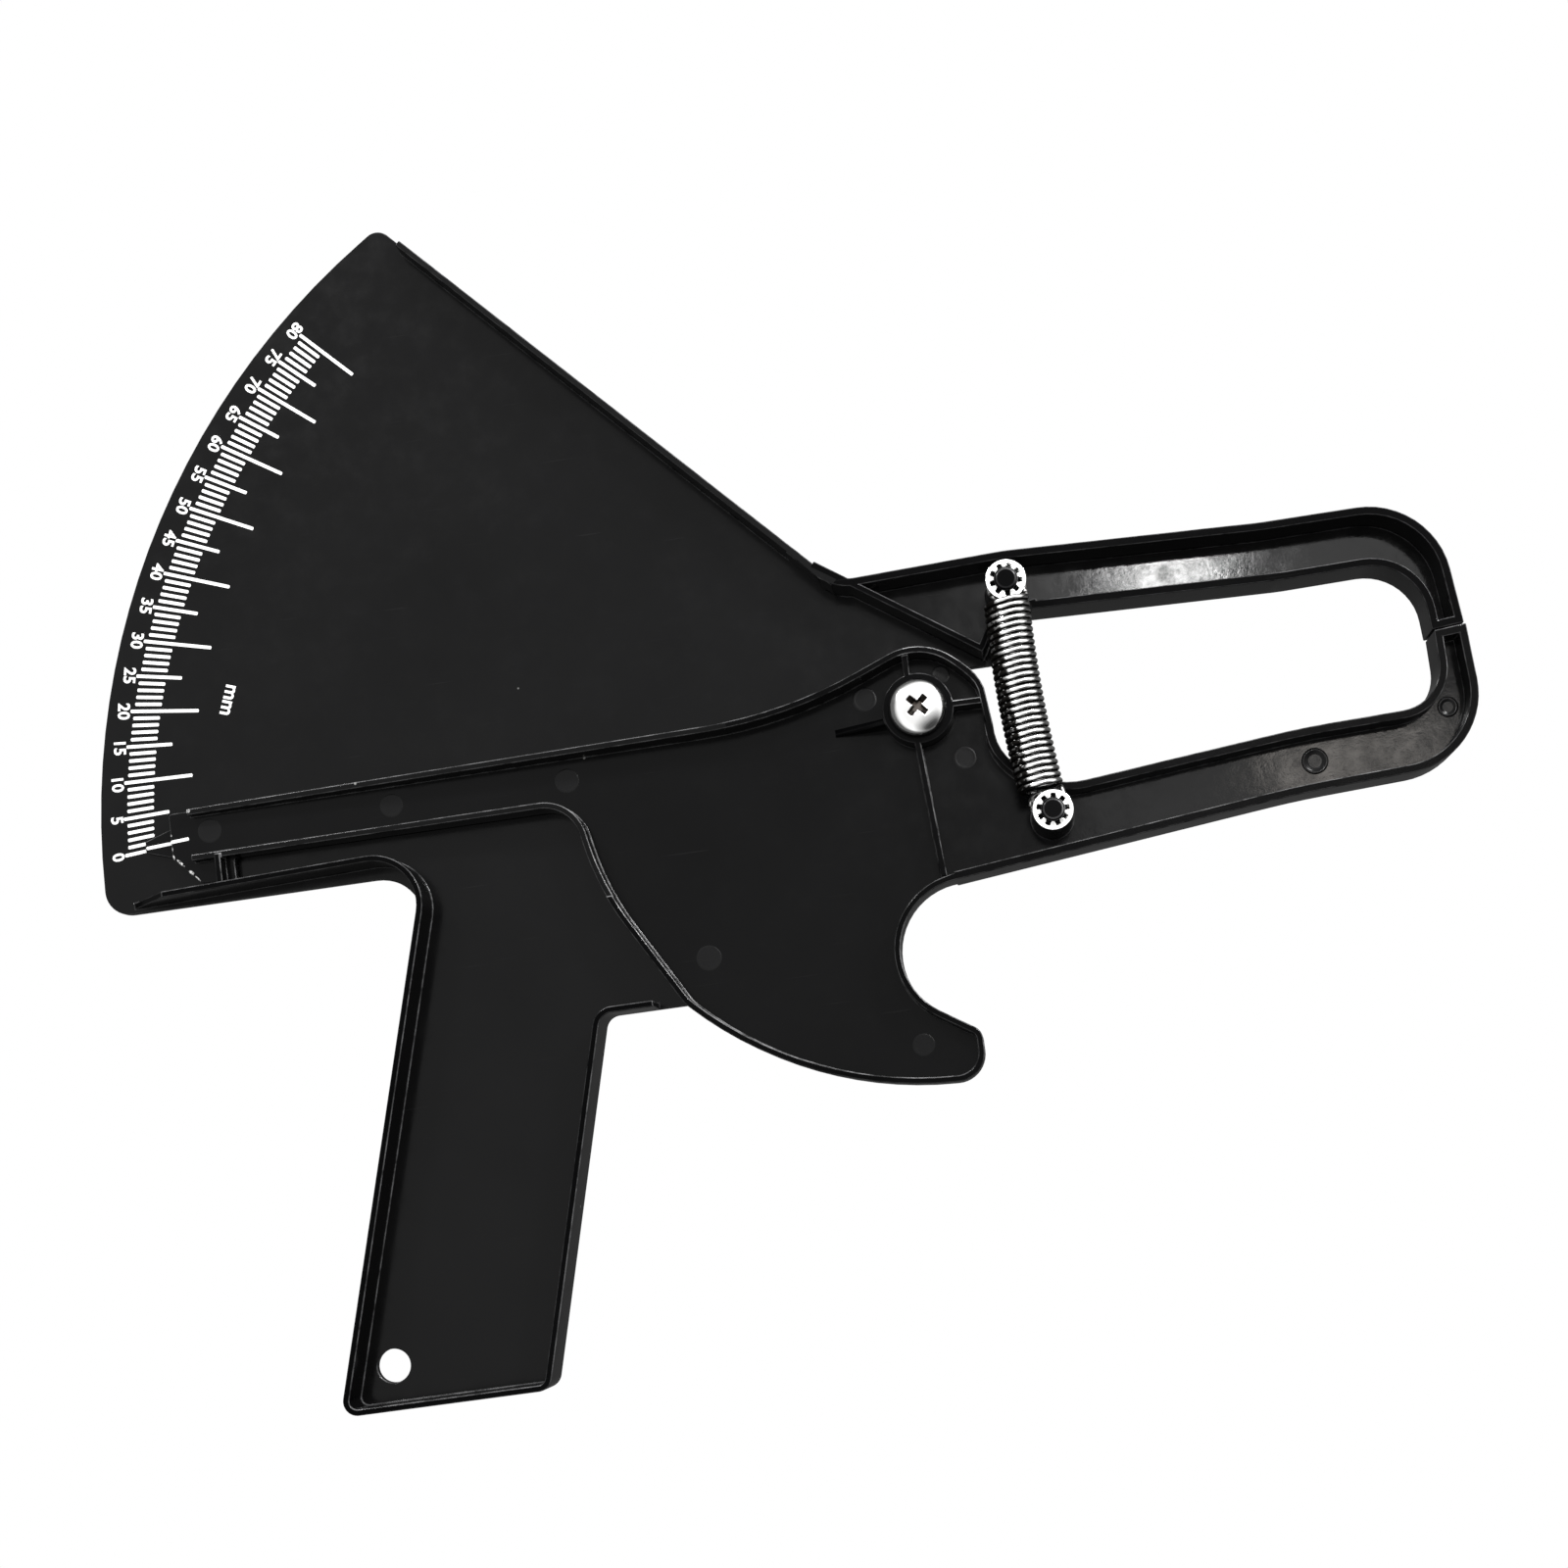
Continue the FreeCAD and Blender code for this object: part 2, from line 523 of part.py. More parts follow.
def boss_ribs():
    """Ribs that spread from the boss to the hub's edge, to the forearm, and a short one that runs out."""
    inner = BOSS_RADIUS - 1
    up = bar((-1.4, inner), (-1.3, HUB_EDGE - RIB / 2), RIB, LEVER_BACK, BOSS_TOP)
    right = bar((inner, -0.1), (HUB_EDGE - RIB / 2, -0.2), RIB, LEVER_BACK, BOSS_TOP)
    down = bar((-1.1, -inner), DOWN_RIB_END, RIB, LEVER_BACK, BOSS_TOP)
    left_start = (-inner, LEFT_RIB_END[1])
    left = bar(left_start, LEFT_RIB_END, RIB + 0.3, LEVER_BACK, BOSS_TOP)
    left = left.cut(slope(LEFT_RIB_END, LEVER_FRONT, left_start, BOSS_TOP, 5, 0, 5))
    return [up, right, down, left]


def make_pivot_screw():
    """Wide domed machine screw with a tapered cross recess."""
    rim = JOURNAL_TOP + HEAD_EDGE
    top = JOURNAL_TOP + HEAD_HEIGHT
    end = JOURNAL_TOP - SCREW_LENGTH
    rise = top - rim
    dome_radius = (HEAD_RADIUS ** 2 + rise ** 2) / (2 * rise)
    dome = []
    for share in DOME_STEPS:
        across = HEAD_RADIUS * share
        dome.append((across, top - dome_radius + sqrt(dome_radius ** 2 - across ** 2)))
    screw = turned_profile([
        (0, end), (SCREW_RADIUS, end), (SCREW_RADIUS, JOURNAL_TOP), (HEAD_RADIUS, JOURNAL_TOP), *dome, (0, top)])
    floor = top - CROSS_DEPTH
    half_top = CROSS_SPAN / 2
    half_floor = CROSS_SPAN / 5
    for quarter in (0, 90):
        flank = Part.makePolygon([
            Vector(-half_floor, 0, floor), Vector(half_floor, 0, floor), Vector(half_top, 0, top),
            Vector(half_top, 0, top + 1), Vector(-half_top, 0, top + 1), Vector(-half_top, 0, top),
            Vector(-half_floor, 0, floor)])
        slot = Part.Face(flank).extrude(Vector(0, CROSS_WIDTH, 0))
        slot.translate(Vector(0, -CROSS_WIDTH / 2, 0))
        slot.rotate(Vector(0, 0, 0), Vector(0, 0, 1), CROSS_TURN + quarter)
        screw = screw.cut(slot)
    return screw


def make_pivot_nut():
    """Thin hexagon nut in the pocket in the back of the frame's hub."""
    nut = hexagon(NUT_FLATS, NUT_RECESS, NUT_RECESS + NUT_HEIGHT)
    return nut.cut(disc((0, 0), SCREW_RADIUS + THREAD_CLEAR, NUT_RECESS, NUT_RECESS + NUT_HEIGHT))


def make_star_washer(at):
    """Push-on washer: a flat ring cut into teeth that grip the post's pin."""
    top = STAR_Z + STAR_THICK
    washer = disc((0, 0), STAR_RADIUS, STAR_Z, top)
    cuts = [disc((0, 0), PIN_RADIUS + STAR_FIT, STAR_Z, top)]
    half = STAR_SLOT / 2
    for k in range(STAR_TEETH):
        slot = ribbon([corner((0, -half)), corner((STAR_BAND, -half))], STAR_SLOT, STAR_Z, top)
        slot.rotate(Vector(0, 0, 0), Vector(0, 0, 1), 360.0 * k / STAR_TEETH)
        cuts.append(slot)
    washer = washer.cut(cuts)
    washer.translate(Vector(at[0], at[1], 0))
    return washer


def make_spring():
    """Extension spring: coils as a grooved sleeve, with a full loop over each post joined by a bridge."""
    span = hypot(LOWER_POST[0] - UPPER_POST[0], LOWER_POST[1] - UPPER_POST[1])
    mean = COIL_RADIUS - WIRE / 2
    reach = mean + LOOP_OFFSET
    first = (reach, -COIL_SHIFT_UPPER)
    last = (span - reach, -COIL_SHIFT_LOWER)
    length = hypot(last[0] - first[0], last[1] - first[1])
    pitch = length / COIL_RIDGES
    groove = WIRE / 3
    bore = COIL_RADIUS - WIRE
    profile = [(bore, 0.0)]
    for k in range(COIL_RIDGES):
        profile.append((COIL_RADIUS - groove, k * pitch))
        profile.append((COIL_RADIUS, (k + 0.5) * pitch))
    profile.append((COIL_RADIUS - groove, length))
    profile.append((bore, length))
    sleeve = turned_profile(profile)
    sleeve.rotate(Vector(0, 0, 0), Vector(0, 1, 0), 90)
    sleeve.rotate(Vector(0, 0, 0), Vector(0, 0, 1), heading(first, last))
    sleeve.translate(Vector(first[0], first[1], 0))
    pieces = []
    wire = WIRE / 2
    for post_x, coil_end in ((0, first), (span, last)):
        # Full loop round the post, as a ring of the wire's width
        pieces.append(turned_profile([
            (mean - wire, -wire), (mean + wire, -wire), (mean + wire, wire), (mean - wire, wire)], (post_x, 0)))
        side = coil_end[1] + mean
        pieces.append(Part.makeCylinder(wire, side, Vector(coil_end[0], 0, 0), Vector(0, 1, 0)))
    spring = sleeve.fuse(pieces)
    spring.rotate(Vector(0, 0, 0), Vector(0, 0, 1), heading(UPPER_POST, LOWER_POST))
    spring.translate(Vector(UPPER_POST[0], UPPER_POST[1], SPRING_Z))
    return spring


def main():
    os.makedirs("parts", exist_ok=True)
    parts = {
        "frame": make_frame(),
        "lever": make_lever(),
        "pivot_screw": make_pivot_screw(),
        "pivot_nut": make_pivot_nut(),
        "spring": make_spring(),
        "upper_retainer": make_star_washer(UPPER_POST),
        "lower_retainer": make_star_washer(LOWER_POST),
    }
    for name, shape in parts.items():
        shape.exportStep("parts/" + name + ".step")
        box = shape.BoundBox
        print(name, len(shape.Solids), "solid", shape.isValid(), round(shape.Volume, 1),
              [round(v, 1) for v in (box.XMin, box.XMax, box.YMin, box.YMax, box.ZMin, box.ZMax)])


main()
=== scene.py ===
import math
import bmesh
import bpy
from mathutils import Matrix, Vector


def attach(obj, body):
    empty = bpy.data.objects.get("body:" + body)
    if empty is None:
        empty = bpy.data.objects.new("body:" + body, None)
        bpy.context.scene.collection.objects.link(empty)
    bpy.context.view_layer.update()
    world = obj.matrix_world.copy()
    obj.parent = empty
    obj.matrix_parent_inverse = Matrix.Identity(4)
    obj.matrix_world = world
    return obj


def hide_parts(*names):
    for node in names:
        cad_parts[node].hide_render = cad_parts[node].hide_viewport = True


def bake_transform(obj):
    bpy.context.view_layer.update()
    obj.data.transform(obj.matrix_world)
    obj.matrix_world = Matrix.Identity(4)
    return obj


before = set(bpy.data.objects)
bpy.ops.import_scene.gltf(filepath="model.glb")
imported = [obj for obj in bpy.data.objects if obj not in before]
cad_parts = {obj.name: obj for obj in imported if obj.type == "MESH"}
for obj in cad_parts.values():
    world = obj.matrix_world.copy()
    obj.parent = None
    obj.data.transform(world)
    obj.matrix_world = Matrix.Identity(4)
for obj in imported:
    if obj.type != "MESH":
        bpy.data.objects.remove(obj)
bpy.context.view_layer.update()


# ---------------------------------------------------------------------------------------------------------
# Frame moulding.  Fan-shaped scale plate, pistol grip and fixed jaw in one piece of glossy black ABS.  It is
# injection moulded, with slightly rounded rims and small fillets at the foot of every wall.
# ---------------------------------------------------------------------------------------------------------
MM = 0.001
ROUNDING = 0.2 * MM
FLAT_BLACK = (0.0012, 0.0012, 0.0013, 1)
RIM_BLACK = (0.001, 0.001, 0.0011, 1)
# Pale grey of rounded edges: partly rubbing, partly a painted highlight
RUB_AND_HIGHLIGHT_GREY = (0.24, 0.24, 0.245, 1)
CLOUD_TONE = (0.0034, 0.0034, 0.0036, 1)
DUST_TONE = (0.3, 0.3, 0.29, 1)
# Near-white of the painted glints at the pointer
GLINT_TONE = (0.7, 0.7, 0.69, 1)


def new_skin(name, inputs):
    """Node group of a finish: places and settings go in, and colour, roughness and height come out."""
    group = bpy.data.node_groups.new(name, "ShaderNodeTree")
    for label, kind, value in [("Vector", "Vector", None), *inputs]:
        socket = group.interface.new_socket(label, in_out="INPUT", socket_type="NodeSocket" + kind)
        if value is not None:
            socket.default_value = value
    for label, kind in (("Color", "Color"), ("Roughness", "Float"), ("Height", "Float")):
        group.interface.new_socket(label, in_out="OUTPUT", socket_type="NodeSocket" + kind)
    return group, group.nodes.new("NodeGroupInput"), group.nodes.new("NodeGroupOutput")


def add(tree, kind, **settings):
    """A node with its properties, and its unlinked sockets set by name."""
    node = tree.nodes.new("ShaderNode" + kind)
    sockets = settings.pop("sockets", {})
    for key, value in settings.items():
        setattr(node, key, value)
    for key, value in sockets.items():
        node.inputs[key].default_value = value
    return node


def link(tree, *pairs):
    for source, target in pairs:
        tree.links.new(source, target)


def noise(tree, vector, scale, detail, roughness):
    node = add(tree, "TexNoise", sockets={"Scale": scale, "Detail": detail, "Roughness": roughness})
    link(tree, (vector, node.inputs["Vector"]))
    return node.outputs["Fac"]


def remap(tree, value, low, high, to_low=0.0, to_high=1.0):
    """Value spread from one range over another, and held inside it."""
    node = add(tree, "MapRange", sockets={
        "From Min": low, "From Max": high, "To Min": to_low, "To Max": to_high})
    link(tree, (value, node.inputs["Value"]))
    return node.outputs["Result"]


def math_node(tree, operation, a, b):
    node = add(tree, "Math", operation=operation)
    for socket, value in zip(node.inputs, (a, b)):
        if isinstance(value, (int, float)):
            socket.default_value = value
        else:
            link(tree, (value, socket))
    return node.outputs["Value"]


def times(tree, a, b):
    return math_node(tree, "MULTIPLY", a, b)


def plus(tree, a, b):
    return math_node(tree, "ADD", a, b)


def blend_colour(tree, factor, a, b):
    """Mix of two colours, which a Mix node has on its inputs 6 and 7 and gives on its output 2."""
    node = add(tree, "Mix", data_type="RGBA")
    for socket, value in ((node.inputs[0], factor), (node.inputs[6], a), (node.inputs[7], b)):
        if isinstance(value, (int, float, tuple)):
            socket.default_value = value
        else:
            link(tree, (value, socket))
    return node.outputs[2]


def give_out(tree, leave, colour, roughness, height):
    """Link what a finish has worked out to its outputs, and give back its group."""
    link(tree, (colour, leave.inputs["Color"]), (roughness, leave.inputs["Roughness"]),
         (height, leave.inputs["Height"]))
    return tree


# Painted glints along the pointer's edges: place in millimetres, slant in degrees, and half length and half
# width
POINTER_GLINTS = [((-160.9, -3.1, 4.3), -86, (0.3, 0.22)), ((-161.0, -6.1, 4.3), -86, (0.6, 0.26)),
          ((-160.9, -7.7, 4.3), -70, (0.7, 0.28)), ((-159.4, -9.3, 4.3), -49, (1.1, 0.26)),
          ((-157.3, -11.7, 4.3), -49, (0.7, 0.38)), ((-156.1, -13.1, 4.3), -49, (0.8, 0.2)),
          ((-155.9, 1.1, 7.2), 0, (0.5, 0.45))]
GLINT_DEPTH = 1.4
JAWS_FROM, JAWS_FULL = 26 * MM, 34 * MM     # the jaws' polish begins, and is full, this far past the pivot


def make_moulded_skin():
    """Skin of a moulded plastic part: cloudy gloss, fine grain, hairline scratches, dust, edges painted pale
    as rubbing and as a painted highlight, and painted glints at the pointer.
    """
    tree, enter, leave = new_skin("moulded_skin", [
        ("Plastic", "Color", (0.01, 0.01, 0.01, 1)), ("Rub And Highlight", "Color", (0.05, 0.05, 0.05, 1)),
        ("Gloss", "Float", 0.3), ("Edge", "Float", 0.0), ("Scratches", "Float", 0.5)])
    at = enter.outputs["Vector"]
    cloud = remap(tree, noise(tree, at, 26, 3, 0.55), 0.3, 0.7)
    flow = remap(tree, noise(tree, at, 190, 4, 0.6), 0.4, 0.72)
    grain = noise(tree, at, 2600, 2, 0.6)
    # Hairline scratches from handling, in two directions
    lines = []
    for turn, scale in ((0.6, (60, 1500, 60)), (-0.9, (45, 1900, 45))):
        turned = add(tree, "Mapping", sockets={"Rotation": (0, 0, turn), "Scale": scale})
        link(tree, (at, turned.inputs["Vector"]))
        lines.append(remap(tree, noise(tree, turned.outputs["Vector"], 1, 2, 0.4), 0.74, 0.79))
    hairlines = times(tree, math_node(tree, "MAXIMUM", *lines), enter.outputs["Scratches"])
    # Dust: a few specks in scattered cells
    cells = add(tree, "TexVoronoi", sockets={"Scale": 85, "Randomness": 1.0})
    link(tree, (at, cells.inputs["Vector"]))
    near = remap(tree, cells.outputs["Distance"], 0.012, 0.03, 1.0, 0.0)
    picked = add(tree, "SeparateColor")
    link(tree, (cells.outputs["Color"], picked.inputs["Color"]))
    dust = times(tree, near, remap(tree, picked.outputs["Red"], 0.8, 0.84))
    # Edges painted pale, partly as rubbing and partly as a painted highlight, and painted glints at the
    # pointer's edges
    fret = noise(tree, at, 260, 5, 0.65)
    rub_and_highlight = times(tree, enter.outputs["Edge"], remap(tree, fret, 0.36, 0.62, 0.12, 1.0))
    # Painted glints at the pointer's edges, broken up by noise
    glint = 0.0
    for spot, slant, size in POINTER_GLINTS:
        about = add(tree, "Mapping", vector_type="TEXTURE", sockets={
            "Location": Vector(spot) * MM, "Rotation": (0, 0, math.radians(slant)),
            "Scale": Vector((*size, GLINT_DEPTH)) * MM})
        apart = add(tree, "VectorMath", operation="LENGTH")
        link(tree, (at, about.inputs["Vector"]), (about.outputs["Vector"], apart.inputs[0]))
        dent = remap(tree, apart.outputs["Value"], 0.6, 1.15, 1.0, 0.0)
        glint = math_node(tree, "MAXIMUM", glint, dent)
    glint = times(tree, glint, remap(tree, noise(tree, at, 1400, 3, 0.6), 0.42, 0.54))
    tone = blend_colour(tree, times(tree, cloud, 0.5), enter.outputs["Plastic"], CLOUD_TONE)
    # Pale edges, part rubbing and part painted highlight, over the plastic's tone
    marks = math_node(tree, "MAXIMUM", rub_and_highlight, times(tree, hairlines, 0.025))
    rubbed_and_highlit = blend_colour(tree, marks, tone, enter.outputs["Rub And Highlight"])
    dusty = blend_colour(tree, times(tree, dust, 0.7), rubbed_and_highlit, DUST_TONE)
    glinted = blend_colour(tree, glint, dusty, GLINT_TONE)
    # The floors of the jaw channels are brighter polished, in a mottled way
    split = add(tree, "SeparateXYZ")
    link(tree, (at, split.inputs["Vector"]))
    jaws = remap(tree, split.outputs["X"], JAWS_FROM, JAWS_FULL)
    mottle = times(tree, jaws, remap(tree, fret, 0.42, 0.66))
    rough = math_node(tree, "SUBTRACT", enter.outputs["Gloss"], times(tree, jaws, 0.07))
    rough = plus(tree, rough, times(tree, math_node(tree, "MAXIMUM", flow, mottle), 0.1))
    rough = plus(tree, rough, times(tree, cloud, 0.03))
    rough = plus(tree, rough, times(tree, dust, 0.4))
    height = plus(tree, times(tree, grain, 0.3), times(tree, flow, 0.6))
    height = math_node(tree, "SUBTRACT", height, times(tree, hairlines, 0.3))
    height = plus(tree, height, times(tree, jaws, times(tree, fret, 3.2)))
    return give_out(tree, leave, glinted, rough, height)


def new_material(name, **sockets):
    """Material with a Principled shader whose constant values are set on its own sockets."""
    material = bpy.data.materials.new(name)
    material.use_nodes = True
    shader = material.node_tree.nodes["Principled BSDF"]
    for key, value in sockets.items():
        shader.inputs[key.replace("_", " ").title().replace("Ior", "IOR")].default_value = value
    return material, shader


def dress(material, shader, group, values, bump):
    """Place a skin group in a material, on Object coordinates, with a bump of the given depth in metres."""
    tree = material.node_tree
    where = add(tree, "TexCoord")
    skin = add(tree, "Group", node_tree=group)
    for key, value in values.items():
        skin.inputs[key].default_value = value
    relief = add(tree, "Bump", sockets={"Strength": 1.0, "Distance": bump})
    link(tree, (where.outputs["Object"], skin.inputs["Vector"]),
         (skin.outputs["Color"], shader.inputs["Base Color"]),
         (skin.outputs["Roughness"], shader.inputs["Roughness"]),
         (skin.outputs["Height"], relief.inputs["Height"]),
         (relief.outputs["Normal"], shader.inputs["Normal"]))
    return skin


def read_attribute(material, name, socket):
    """Feed a socket of a material from an attribute of the mesh."""
    read = add(material.node_tree, "Attribute", attribute_name=name)
    link(material.node_tree, (read.outputs["Fac"], socket))


def moulded_plastic(name, tone, gloss, scratches, sheen, rub_and_highlight_tone=RUB_AND_HIGHLIGHT_GREY):
    material, shader = new_material(name, specular_ior_level=sheen)
    skin = dress(material, shader, moulded_skin, {
        "Plastic": tone, "Rub And Highlight": rub_and_highlight_tone, "Gloss": gloss, "Scratches": scratches}, 0.008 * MM)
    read_attribute(material, "rim", skin.inputs["Edge"])
    return material


MERGE = 0.15 * MM               # points of a CAD mesh that are nearer than this are one
CRISP_FOLD = math.radians(28)   # an edge that folds more than this is rounded, except for two kinds:
STEP = 0.45 * MM                # one shorter than this, which is a step in the outline,
TIGHT_EDGE = 1.6 * MM           # and one shorter than this
TIGHT_REACH = 2.6 * MM          # that is as near as this to a tight spot
RIB_LEVEL = 6                   # the tops of ribs and rims lie above this many millimetres
BOSS_REACH, HUB_REACH = 9.5, 16     # millimetres from the pivot
LEVEL = 0.9999                  # upward part of a level face's normal


def rubbing(face):
    """How pale a rounded face is painted, partly as rubbing and partly as a painted highlight: most on right
    and upper sides and at the hub's rim, least at the boss.
    """
    middle = face.calc_center_median() / MM
    from_pivot = middle.to_2d().length
    # Even rubbing, with a painted highlight on faces turned to the right and upwards
    amount = 0.12 + 0.88 * max(0.0, face.normal.x * 0.7 + face.normal.y * 0.7)
    if from_pivot < BOSS_REACH:
        amount *= 0.4
    elif from_pivot < HUB_REACH and middle.x > -2 and middle.y > -8 and middle.z > RIB_LEVEL:
        # Painted highlight along the hub's rim
        amount *= 3
    return amount


def rounded_copy(node, name, width, tight_spots=(), reshape=None):
    """Merged copy of a CAD node with rounded edges, whose attribute rim says how pale they are painted, as
    rubbing and as a painted highlight.

    Steps, slivers and the tight spots where a wall runs on another at a slant stay crisp.  The tops of ribs,
    which are duller, take the second material.
    """
    bm = bmesh.new()
    bm.from_mesh(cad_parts[node].data)
    bmesh.ops.remove_doubles(bm, verts=bm.verts, dist=MERGE)
    for v in bm.verts if reshape else ():
        v.co = reshape(v.co)
    bmesh.ops.dissolve_limit(bm, angle_limit=math.radians(0.5), verts=bm.verts, edges=bm.edges)
    rim = bm.faces.layers.float.new("rim")
    crisp = {e for e in bm.edges if e.is_manifold and e.calc_face_angle() > CRISP_FOLD}

    def angles(edge, v):
        """Angles that an edge makes, at one of its ends, with the other crisp edges there."""
        away = edge.other_vert(v).co - v.co
        return [away.angle(o.other_vert(v).co - v.co) for o in v.link_edges if o is not edge and o in crisp]

    def rises(edge):
        """Whether an edge stands nearly upright."""
        return abs(edge.verts[0].co.z - edge.verts[1].co.z) > 0.9 * edge.calc_length()

    def near_tight_spot(v):
        return any((v.co.to_2d() - Vector(spot) * MM).length < TIGHT_REACH for spot in tight_spots)

    steps = {e for e in crisp if e.calc_length() < STEP
             and all(max(angles(e, v), default=0) < math.radians(130) for v in e.verts)}
    corners = {v for e in steps for v in e.verts}
    left_crisp = {e for e in crisp if e in steps
                  or any(min(angles(e, v), default=9) < math.radians(30) for v in e.verts)
                  or rises(e) and not corners.isdisjoint(e.verts)
                  or e.calc_length() < TIGHT_EDGE and any(near_tight_spot(v) for v in e.verts)}
    made = bmesh.ops.bevel(bm, geom=[e for e in bm.edges if e in crisp and e not in left_crisp], offset=width,
                           offset_type="OFFSET", segments=2, profile=0.5, affect="EDGES", clamp_overlap=False,
                           material=-1)
    bm.normal_update()
    # The rounded faces carry how pale they are painted, as rubbing and as a painted highlight
    for face in made["faces"]:
        face[rim] = rubbing(face)
    for face in bm.faces:
        if face.normal.z > LEVEL and face.calc_center_median().z > RIB_LEVEL * MM:
            face.material_index = 1
    bmesh.ops.triangulate(bm, faces=[f for f in bm.faces if len(f.verts) > 4])
    return finished(bm, name)


def finished(bm, name):
    """Object at the origin from a bmesh: level faces shaded flat, all others smooth."""
    bm.normal_update()
    for face in bm.faces:
        face.smooth = abs(face.normal.z) < LEVEL
    mesh = bpy.data.meshes.new(name)
    bm.to_mesh(mesh)
    bm.free()
    piece = bpy.data.objects.new(name, mesh)
    bpy.context.scene.collection.objects.link(piece)
    even = piece.modifiers.new("even_shading", "WEIGHTED_NORMAL")
    even.keep_sharp = True
    return piece


def put_on(piece, body, slot, *materials):
    """Give a piece its materials and the CAD body that carries it; the slot argument is not used."""
    for material in materials:
        piece.data.materials.append(material)
    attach(piece, body)


moulded_skin = make_moulded_skin()
frame_plastic = moulded_plastic("frame_plastic", FLAT_BLACK, gloss=0.12, scratches=0.5, sheen=0.162)
frame_rims = moulded_plastic("frame_rims", RIM_BLACK, gloss=0.4, scratches=0.4, sheen=0.015)
frame_moulding = rounded_copy("frame", "frame_moulding", ROUNDING, tight_spots=[(-17.8, 33.0)])
put_on(frame_moulding, "frame", "black_plastic", frame_plastic, frame_rims)
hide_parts("frame")


# ---------------------------------------------------------------------------------------------------------
# Scale print.  Millimetre scale in white ink, pad-printed on the fan: a stroke for every millimetre of jaw
# opening, longer ones at fives and tens, plain numbers at every five.  The ink stands a few hundredths proud.
# ---------------------------------------------------------------------------------------------------------
PLATE_TOP = 2.0 * MM
FAN_CENTRE = Vector((-17.0, -12.2, 0)) * MM
FAN_RADIUS = 160.2 * MM
SCALE_END = 80
INK = 0.035 * MM
STROKE_WIDTH = 0.72 * MM
STROKES_INSIDE = 12.4 * MM              # from the fan's edge to the middle of the strokes
ZERO_RAY, RAY_STEP = 181.74, 0.5185     # degrees round the pivot at 0 mm, and fewer for each millimetre
ZERO_SLANT, SLANT_STEP = 4.9, 0.627     # the same for the direction of the stroke itself


def stroke_place(value):
    """Middle of the stroke for a jaw opening, and the unit vector along it, inwards."""
    ray = math.radians(ZERO_RAY - RAY_STEP * value)
    slant = math.radians(ZERO_SLANT - SLANT_STEP * value)
    out = Vector((math.cos(ray), math.sin(ray), 0))
    along = out.dot(FAN_CENTRE)
    reach = FAN_RADIUS - STROKES_INSIDE
    distance = along + math.sqrt(along ** 2 - FAN_CENTRE.length_squared + reach ** 2)
    return out * distance, Vector((math.cos(slant), math.sin(slant), 0))


def ink_stroke(bm, start, end, width, level):
    """Flat bar of ink from start to end, with slightly rounded ends."""
    run = end - start
    bar = bmesh.ops.create_cube(bm, size=1.0)["verts"]
    bmesh.ops.scale(bm, vec=(run.length, width, INK), verts=bar)
    edges = {e for v in bar for e in v.link_edges}
    upright = [e for e in edges if abs(e.verts[0].co.z - e.verts[1].co.z) > INK / 2]
    made = bmesh.ops.bevel(bm, geom=upright, offset=width * 0.3, offset_type="OFFSET", segments=2,
                           profile=0.5, affect="EDGES", material=-1)
    verts = list({v for f in made["faces"] for v in f.verts} | {v for v in bar if v.is_valid})
    turn = Matrix.Rotation(math.atan2(run.y, run.x), 4, "Z")
    place = Matrix.Translation((start + end) / 2 + Vector((0, 0, level + INK / 2)))
    bmesh.ops.transform(bm, matrix=place @ turn, verts=verts)


def make_print_ink():
    """White pad-printing ink: dense, slightly uneven, a little thin towards the grain of the plastic."""
    tree, enter, leave = new_skin("print_ink", [("Ink", "Color", (0.9, 0.9, 0.9, 1))])
    at = enter.outputs["Vector"]
    thin = remap(tree, noise(tree, at, 1500, 4, 0.65), 0.56, 0.74)
    broad = remap(tree, noise(tree, at, 160, 3, 0.5), 0.35, 0.7)
    tint = blend_colour(tree, times(tree, thin, 0.35), enter.outputs["Ink"], (0.4, 0.4, 0.41, 1))
    tint = blend_colour(tree, times(tree, broad, 0.12), tint, (0.6, 0.6, 0.62, 1))
    rough = remap(tree, broad, 0, 1, 0.42, 0.6)
    return give_out(tree, leave, tint, rough, thin)


white_ink, ink_shader = new_material("white_ink", specular_ior_level=0.4)
dress(white_ink, ink_shader, make_print_ink(), {"Ink": (0.92, 0.92, 0.91, 1)}, 0.006 * MM)

bm = bmesh.new()
for value in range(SCALE_END + 1):
    middle, inwards = stroke_place(value)
    # Where the stroke starts and ends, from its middle inwards
    outer, inner = -6.6 * MM, -0.8 * MM
    if value % 5 == 0:
        outer, inner = -7.4 * MM, 2.6 * MM
    if value % 10 == 0:
        inner = 7.5 * MM
    if value == 0:
        inner = -1.4 * MM
    ink_stroke(bm, middle + inwards * outer, middle + inwards * inner, STROKE_WIDTH, PLATE_TOP)
scale_strokes = finished(bm, "scale_strokes")
put_on(scale_strokes, "frame", "black_plastic", white_ink)

NUMBERS_OUT = 9.0 * MM
NUMBER_HEIGHT, UNIT_HEIGHT = 2.5 * MM, 3.1 * MM
UNIT_AT, UNIT_LEAN = Vector((-146.0, 24.6, 0)) * MM, math.radians(-19.8)
CAPITAL_SHARE = 0.7     # height of a capital letter in a font of size 1


